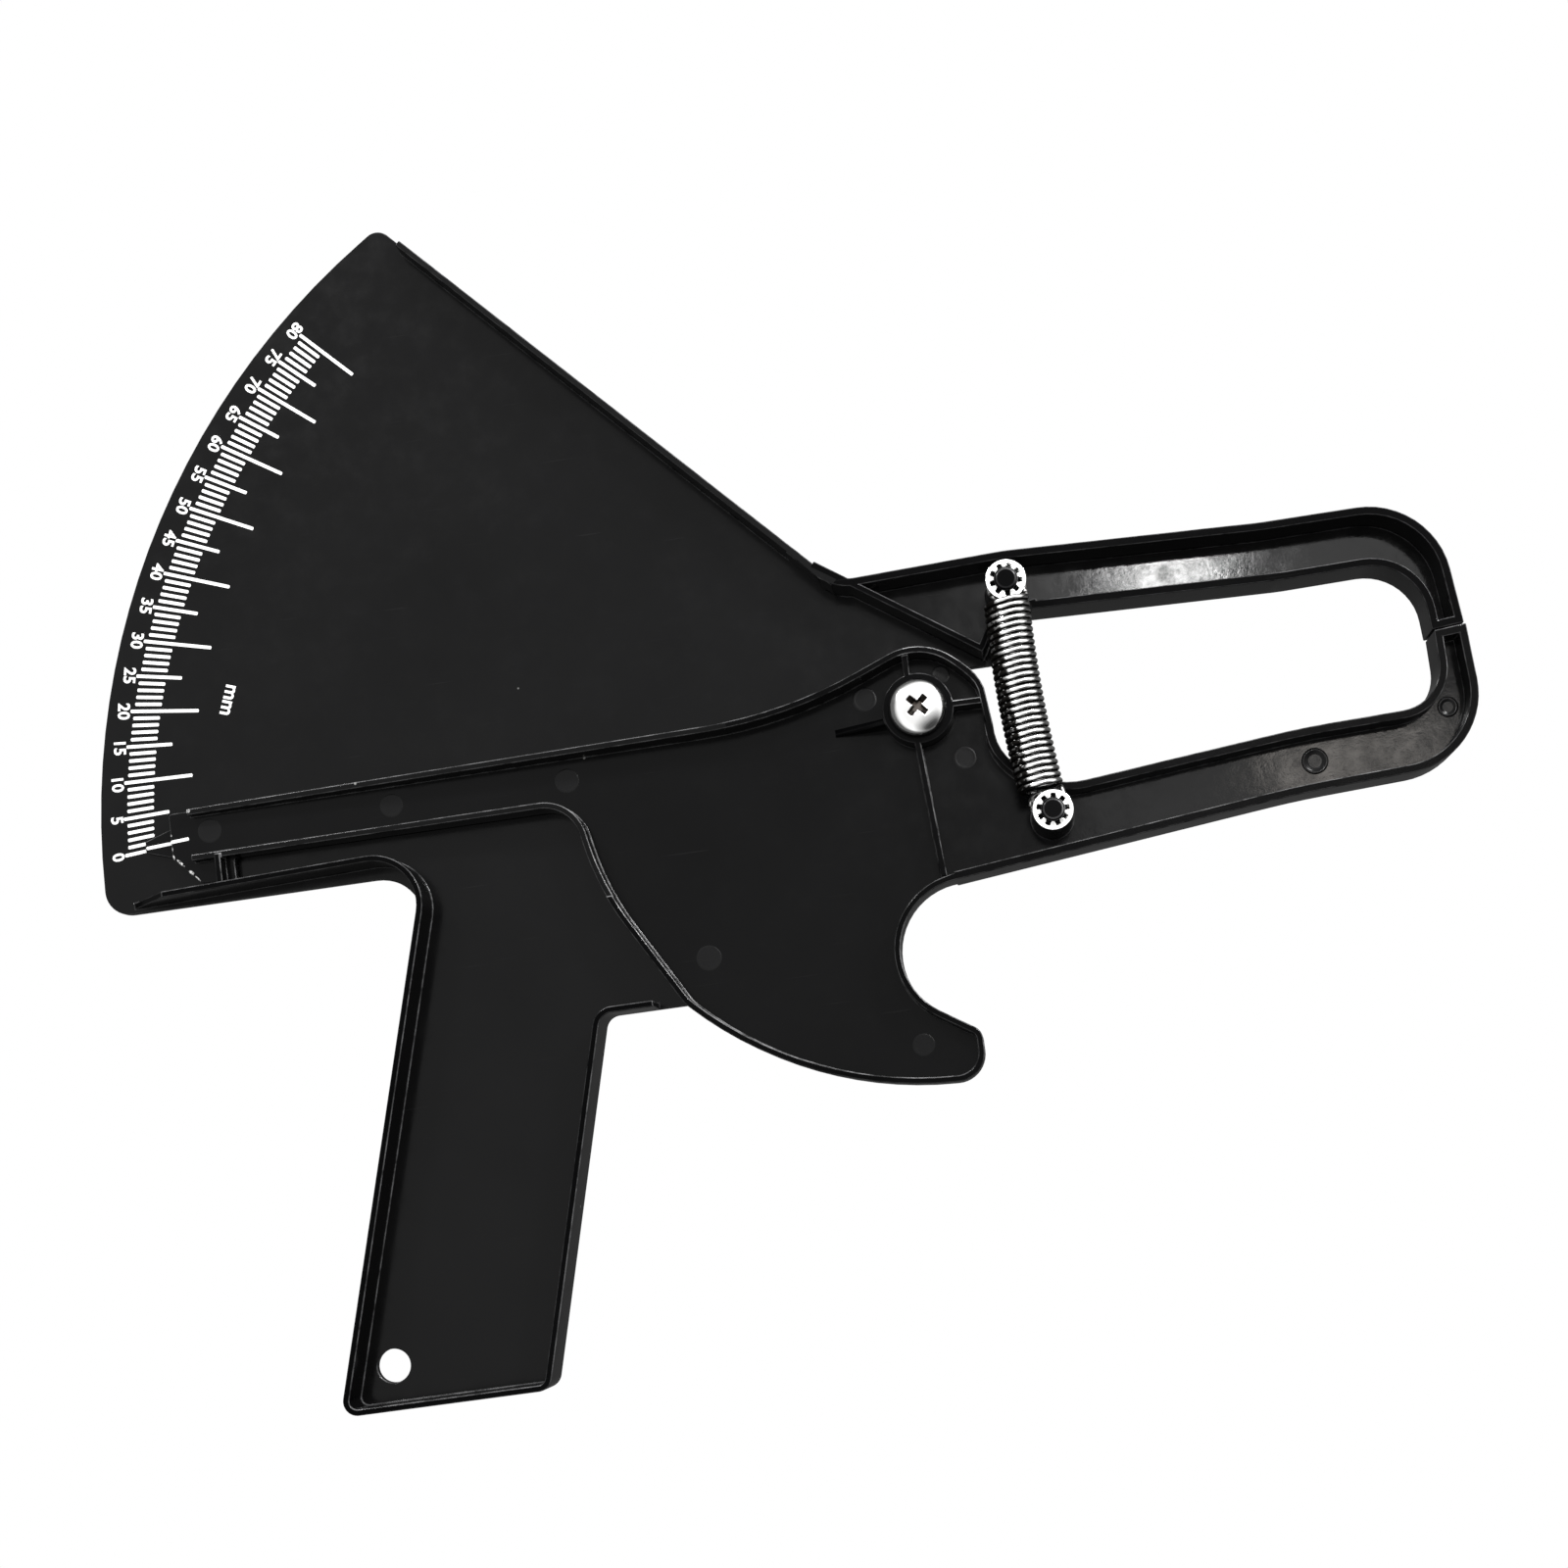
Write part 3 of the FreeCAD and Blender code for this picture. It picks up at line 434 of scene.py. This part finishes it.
def printed_word(word, centre, up, height, spacing=1.0):
    """Mesh of a printed number or unit with its top towards up, centred on a point of the plate."""
    letters = bpy.data.curves.new("number_" + word, "FONT")
    letters.body = word
    letters.size = height / CAPITAL_SHARE
    letters.align_x = "CENTER"
    letters.align_y = "CENTER"
    letters.space_character = spacing
    letters.offset = 0.09 * MM
    letters.extrude = INK / 2
    letters.resolution_u = 3
    carrier = bpy.data.objects.new("number_" + word, letters)
    mesh = bpy.data.meshes.new_from_object(carrier)
    bpy.data.objects.remove(carrier)
    turn = Matrix.Rotation(math.atan2(up.y, up.x) - math.pi / 2, 4, "Z")
    mesh.transform(Matrix.Translation(centre + Vector((0, 0, PLATE_TOP + INK / 2))) @ turn)
    return mesh


bm = bmesh.new()
for value in range(0, SCALE_END + 1, 5):
    middle, inwards = stroke_place(value)
    bm.from_mesh(printed_word(str(value), middle - inwards * NUMBERS_OUT, inwards, NUMBER_HEIGHT, 1.02))
unit_up = Vector((math.cos(UNIT_LEAN), math.sin(UNIT_LEAN), 0))
bm.from_mesh(printed_word("mm", UNIT_AT, unit_up, UNIT_HEIGHT))
bmesh.ops.remove_doubles(bm, verts=bm.verts, dist=0.001 * MM)
scale_numbers = finished(bm, "scale_numbers")
put_on(scale_numbers, "frame", "black_plastic", white_ink)


# ---------------------------------------------------------------------------------------------------------
# Lever moulding.  Pointer arm, hub, trigger and moving jaw in one piece, moulded in the same black ABS, with
# the round marks of the ejector pins on its plate and a printed index line at the pointer.
# ---------------------------------------------------------------------------------------------------------
LEVER_TOP = 4.4 * MM
FLAP_TOP = 3.2 * MM
INDEX_WIDTH = 0.7 * MM
HUB_SWELL = 1.55
# Across, up and radius of the ejector pins' marks
EJECTOR_PINS = [(-11.0, 4.5, 2.6), (8.2, -10.8, 2.5), (5.5, 7.4, 2.0), (-75.5, -3.6, 2.6),
                (-113.2, -3.5, 2.5), (-152.5, -3.3, 2.6), (-50.4, -45.0, 2.7), (-8.4, -69.1, 2.4),
                (79.9, -21.9, 2.8), (108.6, -14.6, 2.2)]

# The lever's edges are painted a paler grey, as rubbing and as a painted highlight
lever_plastic = moulded_plastic("lever_plastic", FLAT_BLACK, gloss=0.11, scratches=0.4, sheen=0.118,
                                rub_and_highlight_tone=(0.35, 0.35, 0.355, 1))
lever_rims = moulded_plastic("lever_rims", RIM_BLACK, gloss=0.3, scratches=0.4, sheen=0.03)


def share(value):
    """A value held between 0 and 1."""
    return min(max(value, 0), 1)


def eased(value):
    """The same, with a soft start and end."""
    return share(value) ** 2 * (3 - 2 * share(value))


def fuller_hub(point):
    """The hub's wall on the throat side stands up to 1.55 mm further out than a plain arc."""
    x, y, z = point / MM
    across = share((x - 8) / 3) * share((20 - x) / 3)
    along = eased((y + 13) / 12) * eased((12 - y) / 11)
    return Vector((x + HUB_SWELL * across * along, y, z)) * MM


lever_moulding = rounded_copy("lever", "lever_moulding", ROUNDING, reshape=fuller_hub,
                              tight_spots=[(0.6, -35.5), (-150.2, -15.0), (12.3, -5.2)])
put_on(lever_moulding, "lever", "lever_plastic", lever_plastic, lever_rims)
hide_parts("lever")


def face_up(bm):
    """Turn all faces of an open sheet to the front."""
    bmesh.ops.recalc_face_normals(bm, faces=bm.faces)
    if sum(f.normal.z for f in bm.faces) < 0:
        bmesh.ops.reverse_faces(bm, faces=bm.faces)


pin_plastic = moulded_plastic("ejector_pin_face", (0.0045, 0.0045, 0.0047, 1), gloss=0.2, scratches=0.2,
                              sheen=0.15)
bm = bmesh.new()
for x, y, radius in EJECTOR_PINS:
    # The two marks in the jaw have a proud lip
    rise = 0.22 if x > 60 else 0.04
    lip = [(0, 0.02), (radius * 0.5, 0.02), (radius - 0.7, rise * 0.6), (radius - 0.62, rise * 0.75),
           (radius - 0.35, rise), (radius - 0.15, rise * 0.7), (radius, -0.01)]
    earlier = set(bm.verts)
    points = [bm.verts.new(Vector((r, 0, z)) * MM) for r, z in lip]
    ridge = [bm.edges.new(pair) for pair in zip(points, points[1:])]
    bmesh.ops.spin(bm, geom=points + ridge, cent=(0, 0, 0), axis=(0, 0, 1), angle=2 * math.pi, steps=36,
                   use_merge=True, use_duplicate=False)
    bmesh.ops.remove_doubles(bm, verts=[v for v in bm.verts if v not in earlier], dist=0.002 * MM)
    bmesh.ops.translate(bm, vec=(x * MM, y * MM, LEVER_TOP), verts=[v for v in bm.verts if v not in earlier])
face_up(bm)
ejector_marks = finished(bm, "ejector_marks")
put_on(ejector_marks, "lever", "lever_plastic", pin_plastic)

bm = bmesh.new()
ink_stroke(bm, Vector((-166.8, -4.95, 0)) * MM, Vector((-160.9, -4.59, 0)) * MM, INDEX_WIDTH, FLAP_TOP)
ink_stroke(bm, Vector((-161.0, -4.6, 0)) * MM, Vector((-157.1, -4.35, 0)) * MM, INDEX_WIDTH, LEVER_TOP)
index_line = finished(bm, "index_line")
put_on(index_line, "lever", "lever_plastic", white_ink)


# ---------------------------------------------------------------------------------------------------------
# Pivot screw.  Wide domed machine screw, cold headed in steel and nickel plated, with a cross recess; the
# lever turns under its head.
# ---------------------------------------------------------------------------------------------------------
def make_plated_skin():
    """Bright plating: faint cloudiness, fine turning or handling scratches and a few dull spots."""
    tree, enter, leave = new_skin("plated_skin", [
        ("Metal", "Color", (0.8, 0.8, 0.8, 1)), ("Gloss", "Float", 0.2), ("Stain", "Float", 0.3)])
    at = enter.outputs["Vector"]
    cloud = remap(tree, noise(tree, at, 420, 4, 0.6), 0.35, 0.7)
    fine = noise(tree, at, 5200, 2, 0.5)
    spots = remap(tree, noise(tree, at, 1900, 3, 0.7), 0.66, 0.74)
    dull = math_node(tree, "MAXIMUM", times(tree, cloud, 0.4), spots)
    stain = times(tree, dull, enter.outputs["Stain"])
    tint = blend_colour(tree, stain, enter.outputs["Metal"], (0.36, 0.35, 0.34, 1))
    rough = plus(tree, enter.outputs["Gloss"], times(tree, cloud, 0.08))
    rough = plus(tree, rough, times(tree, spots, 0.15))
    return give_out(tree, leave, tint, rough, fine)


BRIGHT_METAL = (0.93, 0.93, 0.92, 1)
plated_skin = make_plated_skin()
bright_plating, plating_shader = new_material("bright_plating", metallic=1.0)
dress(bright_plating, plating_shader, plated_skin, {
    "Metal": BRIGHT_METAL, "Gloss": 0.14, "Stain": 0.2}, 0.003 * MM)
recess_steel, recess_shader = new_material("recess_steel", metallic=1.0)
dress(recess_steel, recess_shader, plated_skin, {
    "Metal": (0.05, 0.04, 0.033, 1), "Gloss": 0.4, "Stain": 0.5}, 0.004 * MM)


def lathe(bm, profile, steps):
    """Turn a profile of (radius, level) points in millimetres about the upright axis."""
    verts = [bm.verts.new((r * MM, 0, z * MM)) for r, z in profile]
    edges = [bm.edges.new(pair) for pair in zip(verts, verts[1:])]
    bmesh.ops.spin(bm, geom=verts + edges, cent=(0, 0, 0), axis=(0, 0, 1), angle=2 * math.pi, steps=steps,
                   use_merge=True, use_duplicate=False)
    bmesh.ops.remove_doubles(bm, verts=bm.verts, dist=0.001 * MM)
    bmesh.ops.recalc_face_normals(bm, faces=bm.faces)


# Levels and radii in millimetres, and the turn of the cross in degrees
SHANK_RADIUS, SHANK_FOOT = 2.5, 0.3
HEAD_RADIUS, HEAD_FOOT, HEAD_SHOULDER, HEAD_TOP = 6.0, 10.3, 11.2, 13.48
CROSS_LENGTH, CROSS_WIDTH, CROSS_DEPTH, CROSS_LEVEL = 7.0, 1.5, 2.8, 12.95
CROSS_TURN = 43


def crown_level(radius):
    """Height of the head's dome at a radius."""
    return HEAD_SHOULDER + (HEAD_TOP - HEAD_SHOULDER) * math.sqrt(1 - (radius / HEAD_RADIUS) ** 2)


bm = bmesh.new()
crown_radii = [HEAD_RADIUS * math.sin(math.radians(84 - 6 * k)) for k in range(14)]
crown = [(radius, crown_level(radius)) for radius in crown_radii]
lathe(bm, [(0, SHANK_FOOT), (2.1, SHANK_FOOT), (SHANK_RADIUS, 0.7), (SHANK_RADIUS, HEAD_FOOT),
           (5.75, HEAD_FOOT), (5.93, 10.4), (HEAD_RADIUS, 10.6), (HEAD_RADIUS, 11.1),
           *crown, (0, HEAD_TOP)], 72)
blank = finished(bm, "screw_blank")

bm = bmesh.new()
for turn in (CROSS_TURN, CROSS_TURN + 90):
    arm = bmesh.ops.create_cube(bm, size=1.0)["verts"]
    bmesh.ops.scale(bm, vec=(CROSS_LENGTH * MM, CROSS_WIDTH * MM, CROSS_DEPTH * MM), verts=arm)
    bmesh.ops.scale(bm, vec=(0.34, 0.6, 1), verts=[v for v in arm if v.co.z < 0])
    bmesh.ops.rotate(bm, cent=(0, 0, 0), matrix=Matrix.Rotation(math.radians(turn), 3, "Z"), verts=arm)
    bmesh.ops.translate(bm, vec=(0, 0, CROSS_LEVEL * MM), verts=arm)
punch = finished(bm, "cross_punch")

# The punch is pressed into the blank, before the shading is evened
pressed = blank.modifiers.new("cross", "BOOLEAN")
pressed.object = punch
pressed.solver = "EXACT"
pressed.use_self = True
blank.modifiers.move(1, 0)
bpy.context.view_layer.update()
bm = bmesh.new()
bm.from_mesh(bpy.data.meshes.new_from_object(blank.evaluated_get(bpy.context.evaluated_depsgraph_get())))
bpy.data.objects.remove(punch)
bpy.data.objects.remove(blank)
bmesh.ops.remove_doubles(bm, verts=bm.verts, dist=0.003 * MM)

# The recess is all that lies below the crown near the middle, and its lip is broken
for face in bm.faces:
    middle = face.calc_center_median() / MM
    radius = middle.to_2d().length
    if middle.z > 11 and radius < HEAD_RADIUS / 2 and middle.z < crown_level(radius) - 0.06:
        face.material_index = 1
lip = [e for e in bm.edges if e.is_manifold and {f.material_index for f in e.link_faces} == {0, 1}]
bmesh.ops.bevel(bm, geom=lip, offset=0.1 * MM, offset_type="OFFSET", segments=2, profile=0.5, affect="EDGES",
                material=0)
pivot_screw = finished(bm, "pivot_screw_headed")
put_on(pivot_screw, "frame", "plated_steel", bright_plating, recess_steel)
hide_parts("pivot_screw")


# ---------------------------------------------------------------------------------------------------------
# Pivot nut.  Thin hexagon nut of plated steel with its corners broken.  It is pressed into its pocket in the
# back of the frame, and the pivot screw threads into it.
# ---------------------------------------------------------------------------------------------------------
pivot_nut = rounded_copy("pivot_nut", "pivot_nut_turned", 0.18 * MM)
put_on(pivot_nut, "frame", "plated_steel", bright_plating, bright_plating)
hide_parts("pivot_nut")


# ---------------------------------------------------------------------------------------------------------
# Spring.  Close-wound extension spring of bright drawn wire, thirty turns, with the wire led off the side of
# the last turn at each end into a loop round the post.
# ---------------------------------------------------------------------------------------------------------
UPPER_POST = Vector((21.58, 22.49, 16.2)) * MM
LOWER_POST = Vector((24.49, -26.05, 16.2)) * MM
SPAN = (LOWER_POST - UPPER_POST).length
COIL_MEAN, WIRE, TURNS = 4.0 * MM, 1.2 * MM, 30
COIL_FROM = COIL_MEAN + 0.45 * MM
COIL_TO = SPAN - COIL_FROM
BEND = 0.9 * MM                                 # radius of the bend from the coil into the loop
LEG = math.sqrt(COIL_MEAN ** 2 - BEND ** 2)     # how far off the coil's axis that bend starts
LOOP_START, LOOP_TURN = math.radians(20), math.radians(-290)
WIRE_SIDES, TURN_STEPS, LOOP_STEPS, BEND_STEPS = 12, 28, 40, 8
# Painted shade on the loops and on the coil's side next to the pivot
LOOP_SHADE, PIVOT_SIDE_SHADE = 0.6, 0.64
COIL_FULLNESS = 1.045                           # the coil is this much fuller than wound
LOOP_NARROWER, LOOP_FLATTER = 0.14, 0.88        # the loops are drawn in round their posts
HANG, HANG_MORE, HANG_BOW = 0.75, 0.8, 0.75     # millimetres: all over, gained downwards, and in the middle


def make_wire_skin():
    """Bright wire, painted dark as shade between one turn and the next, on the side towards the pivot and on
    the loops.
    """
    tree, enter, leave = new_skin("wire_skin", [
        ("Metal", "Color", (0.9, 0.9, 0.9, 1)), ("Shade", "Float", 0.0)])
    at = enter.outputs["Vector"]
    uneven = remap(tree, noise(tree, at, 900, 3, 0.6), 0.3, 0.7, -0.09, 0.09)
    # Painted shade where the attribute says, a little uneven
    painted_shade = remap(tree, plus(tree, enter.outputs["Shade"], uneven), 0.5, 0.62)
    drawn = remap(tree, noise(tree, at, 2400, 3, 0.6), 0.5, 0.75)
    tint = blend_colour(tree, times(tree, drawn, 0.2), enter.outputs["Metal"], (0.4, 0.4, 0.4, 1))
    tint = blend_colour(tree, painted_shade, tint, (0.012, 0.011, 0.01, 1))
    rough = plus(tree, remap(tree, drawn, 0, 1, 0.2, 0.32), times(tree, painted_shade, 0.4))
    return give_out(tree, leave, tint, rough, drawn)


drawn_wire, wire_shader = new_material("drawn_wire", metallic=1.0)
wire_skin = dress(drawn_wire, wire_shader, make_wire_skin(), {"Metal": BRIGHT_METAL}, 0.002 * MM)
read_attribute(drawn_wire, "wire_shade", wire_skin.inputs["Shade"])


def wind(wire_end, centre, axis, angle, steps, pitch_step=(0, 0, 0)):
    """Carry the open end of the wire round an axis, and give back the new end's edges."""
    made = bmesh.ops.spin(bm, geom=wire_end, cent=centre, axis=axis, dvec=pitch_step, angle=angle,
                          steps=steps, use_merge=False, use_duplicate=False)
    return [g for g in made["geom_last"] if isinstance(g, bmesh.types.BMEdge)]


def draw_straight(wire_end, run):
    """Carry the open end of the wire straight on, and give back the new end's edges."""
    made = bmesh.ops.extrude_edge_only(bm, edges=wire_end)["geom"]
    far = [g for g in made if isinstance(g, bmesh.types.BMVert)]
    bmesh.ops.translate(bm, vec=run, verts=far)
    return [g for g in made if isinstance(g, bmesh.types.BMEdge) and set(far).issuperset(g.verts)]


# The spring is wound along +X from the upper post at the origin
bm = bmesh.new()
ring = bmesh.ops.create_circle(bm, cap_ends=False, segments=WIRE_SIDES, radius=WIRE / 2)["verts"]
bmesh.ops.rotate(bm, cent=(0, 0, 0), matrix=Matrix.Rotation(math.pi / 2, 3, "X"), verts=ring)
bmesh.ops.translate(bm, vec=(LEG, 0, 0), verts=ring)
bmesh.ops.rotate(bm, cent=(0, 0, 0), matrix=Matrix.Rotation(LOOP_START, 3, "Z"), verts=ring)
wire_end = list({e for v in ring for e in v.link_edges})
lead = math.asin(BEND / COIL_MEAN)
wound = 2 * math.pi * TURNS - 2 * lead
steps = TURNS * TURN_STEPS
wire_end = wind(wire_end, (0, 0, 0), (0, 0, 1), LOOP_TURN, LOOP_STEPS)
wire_end = draw_straight(wire_end, (COIL_FROM - BEND, 0, 0))
wire_end = wind(wire_end, (COIL_FROM - BEND, LEG, BEND), (0, -1, 0), math.pi / 2, BEND_STEPS)
wire_end = wind(wire_end, (0, 0, 0), (1, 0, 0), wound, steps, ((COIL_TO - COIL_FROM) / steps, 0, 0))
wire_end = wind(wire_end, (COIL_TO + BEND, LEG, -BEND), (0, 1, 0), math.pi / 2, BEND_STEPS)
wire_end = draw_straight(wire_end, (SPAN - COIL_TO - BEND, 0, 0))
wind(wire_end, (SPAN, 0, 0), (0, 0, 1), LOOP_TURN, LOOP_STEPS)
bmesh.ops.holes_fill(bm, edges=[e for e in bm.edges if e.is_boundary])
bmesh.ops.recalc_face_normals(bm, faces=bm.faces)

# Painted shade on each point of the wire: on the loops, by how far it lies towards its neighbouring turn, and
# on the side next to the pivot
wire_shade = bm.verts.layers.float.new("wire_shade")
pitch = (COIL_TO - COIL_FROM) / (wound / (2 * math.pi))
start = math.atan2(BEND, LEG)
for v in bm.verts:
    v[wire_shade] = LOOP_SHADE
    if COIL_FROM - WIRE / 2 < v.co.x < COIL_TO + WIRE / 2:
        turns = (math.atan2(v.co.z, v.co.y) - start) / (2 * math.pi)
        off = (v.co.x - COIL_FROM) / pitch - turns
        v[wire_shade] = max(2 * abs(off - round(off)), min(0.5 + 0.75 * (-v.co.y / COIL_MEAN - 0.4), PIVOT_SIDE_SHADE))

# The loops are drawn in round their posts, and the coils hang a little off their line, towards the pivot
for v in bm.verts:
    down_coil = share((v.co.x - COIL_FROM) / (COIL_TO - COIL_FROM))
    in_loop = share(max(COIL_FROM - v.co.x, v.co.x - COIL_TO) / COIL_FROM)
    hang = HANG + HANG_MORE * down_coil + HANG_BOW * 4 * down_coil * (1 - down_coil)
    v.co.y = v.co.y * COIL_FULLNESS * (1 - LOOP_NARROWER * in_loop) - hang * (1 - 0.8 * in_loop) * MM
    if v.co.x < 0:
        v.co.x *= LOOP_FLATTER
    elif v.co.x > SPAN:
        v.co.x = SPAN + (v.co.x - SPAN) * LOOP_FLATTER
down = (LOWER_POST - UPPER_POST).normalized()
along = Matrix.Rotation(math.atan2(down.y, down.x), 4, "Z")
bmesh.ops.transform(bm, matrix=Matrix.Translation(UPPER_POST) @ along, verts=bm.verts)
coil_spring = finished(bm, "coil_spring")
coil_spring.data.materials.append(drawn_wire)
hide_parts("spring")
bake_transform(coil_spring)


# ---------------------------------------------------------------------------------------------------------
# Star washers.  Push-on retainers stamped from thin spring steel, with nine teeth dished up against the post.
# One keeps each loop of the spring on its post.
# ---------------------------------------------------------------------------------------------------------
STAR_FOOT = 16.86 * MM
STAR_RADIUS = 4.15 * MM
STAR_RINGS = [(3.4, 0.0), (3.2, 0.02), (2.7, 0.1), (2.2, 0.24)]     # radius and lift, inwards along the teeth
TOOTH_PITCH = math.radians(40)
SLOT_END, SLOT_HALF = 3.38 * MM, 0.5 * MM
SHEET = 0.32 * MM


def star_washer(name, body, node, centre, turn):
    bm = bmesh.new()
    bmesh.ops.create_circle(bm, cap_ends=False, segments=144, radius=STAR_RADIUS)
    edges = list(bm.edges)
    for radius, lift in STAR_RINGS:
        made = bmesh.ops.extrude_edge_only(bm, edges=edges)["geom"]
        verts = [g for g in made if isinstance(g, bmesh.types.BMVert)]
        shrink = radius * MM / verts[0].co.to_2d().length
        bmesh.ops.scale(bm, vec=(shrink, shrink, 1), verts=verts)
        bmesh.ops.translate(bm, vec=(0, 0, lift * MM - verts[0].co.z), verts=verts)
        inner = set(verts)
        edges = [e for e in bm.edges if inner.issuperset(e.verts)]
    slots = []
    for face in bm.faces:
        middle = face.calc_center_median().to_2d()
        from_slot = math.atan2(middle.y, middle.x) % TOOTH_PITCH - TOOTH_PITCH / 2
        if middle.length < SLOT_END and abs(middle.length * math.sin(from_slot)) < SLOT_HALF:
            slots.append(face)
    bmesh.ops.delete(bm, geom=slots, context="FACES")
    face_up(bm)
    bmesh.ops.rotate(bm, cent=(0, 0, 0), matrix=Matrix.Rotation(math.radians(turn), 3, "Z"), verts=bm.verts)
    bmesh.ops.translate(bm, vec=centre.to_2d().to_3d() + Vector((0, 0, STAR_FOOT)), verts=bm.verts)
    washer = finished(bm, name)
    sheet = washer.modifiers.new("sheet_metal", "SOLIDIFY")
    sheet.thickness = SHEET
    sheet.offset = 1.0
    edge = washer.modifiers.new("stamped_edge", "BEVEL")
    edge.width = 0.06 * MM
    edge.segments = 2
    edge.limit_method = "ANGLE"
    washer.modifiers.move(0, 2)
    put_on(washer, body, "plated_steel", bright_plating)
    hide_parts(node)


star_washer("upper_star_washer", "spring_anchor", "upper_retainer", UPPER_POST, 10)
star_washer("lower_star_washer", "lever", "lower_retainer", LOWER_POST, 22)


# ---------------------------------------------------------------------------------------------------------
# Studio.  White table that mirrors little of itself in the walls, a pale light tent open at the lower right,
# two small bright lamps for the edges, and panels overhead that the glossy jaw channels mirror.
# ---------------------------------------------------------------------------------------------------------
TABLE_LEVEL = -0.2 * MM
TABLE_HALF = 3.0

bm = bmesh.new()
bmesh.ops.create_grid(bm, x_segments=1, y_segments=1, size=TABLE_HALF)
bmesh.ops.translate(bm, vec=(0, 0, TABLE_LEVEL), verts=bm.verts)
table_top = finished(bm, "table_top")
table_white = bpy.data.materials.new("table_white")
table_white.use_nodes = True
tree = table_white.node_tree
tree.nodes.clear()
glow = add(tree, "Emission")
seen = add(tree, "LightPath")
link(tree, (remap(tree, seen.outputs["Is Camera Ray"], 0, 1, 0.1, 1.0), glow.inputs["Strength"]),
     (glow.outputs["Emission"], add(tree, "OutputMaterial").inputs["Surface"]))
table_top.data.materials.append(table_white)

# The tent is dark towards its opening and near the floor, and brightest at half height
world = bpy.data.worlds.new("light_tent")
bpy.context.scene.world = world
world.use_nodes = True
tree = world.node_tree
towards = add(tree, "TexCoord")
opening = add(tree, "VectorMath", operation="DOT_PRODUCT")
opening.inputs[1].default_value = Vector((0.45, -0.66, 0.6)).normalized()
seen = add(tree, "LightPath")
height = add(tree, "SeparateXYZ")
link(tree, (towards.outputs["Generated"], opening.inputs[0]),
     (towards.outputs["Generated"], height.inputs["Vector"]))
rise = plus(tree, height.outputs["Z"], times(tree, height.outputs["X"], 0.35))
tent = times(tree, remap(tree, opening.outputs["Value"], 0.7, 0.96, 1.0, 0.03),
             remap(tree, rise, 0.25, 0.55, 0.08, 1.05))
tent = times(tree, tent, remap(tree, height.outputs["Z"], 0.6, 0.88, 1.5, 1.0))
strength = add(tree, "Mix", data_type="FLOAT")
strength.inputs[3].default_value = 0.9
link(tree, (seen.outputs["Is Camera Ray"], strength.inputs[0]), (tent, strength.inputs[2]),
     (strength.outputs[0], tree.nodes["Background"].inputs["Strength"]))
tree.nodes["Background"].inputs["Color"].default_value = (1, 1, 1, 1)


def soft_box(name, place, aim, width, height, power, tint=(1, 1, 1)):
    """Flat rectangular lamp that faces a point."""
    light = bpy.data.lights.new(name, "AREA")
    light.shape = "RECTANGLE"
    light.size, light.size_y, light.energy, light.color = width, height, power, tint
    lamp = bpy.data.objects.new(name, light)
    lamp.location = place
    lamp.rotation_mode = "QUATERNION"
    lamp.rotation_quaternion = (Vector(aim) - Vector(place)).to_track_quat("-Z", "Y")
    bpy.context.scene.collection.objects.link(lamp)


soft_box("lamp_left", (-0.42, 0.5, 0.5), (0, 0, 0), 0.12, 0.12, 4.0)
soft_box("lamp_right", (0.42, 0.36, 0.45), (0, 0, 0), 0.12, 0.12, 4.0)
soft_box("panel_upper_jaw", (0.102, 0.143, 0.505), (0.102, 0.143, 0), 0.042, 0.024, 0.33)
soft_box("panel_upper_wide", (0.13, 0.14, 0.51), (0.13, 0.14, 0), 0.2, 0.06, 0.1)
soft_box("panel_lower_jaw", (0.168, 0.052, 0.505), (0.168, 0.052, 0), 0.075, 0.022, 0.07, (1, 0.93, 0.86))
soft_box("panel_lower_wide", (0.145, 0.05, 0.51), (0.145, 0.05, 0), 0.2, 0.06, 0.09)

# The camera stands over the work, turned a few degrees towards it, and a small shift finishes the framing
camera_data = bpy.data.cameras.new("camera")
camera_data.sensor_width = 36.0
camera_data.lens = 55.62
camera_data.shift_x = -0.07
camera_data.shift_y = 0.105
camera_data.clip_start = 0.01
camera = bpy.data.objects.new("camera", camera_data)
camera.location = (0.00957, -0.09778, 0.505)
camera.rotation_euler = [math.radians(turn) for turn in (5.247, 3.193, -7.711)]
bpy.context.scene.collection.objects.link(camera)
bpy.context.scene.camera = camera
bpy.context.scene.view_settings.view_transform = "Standard"
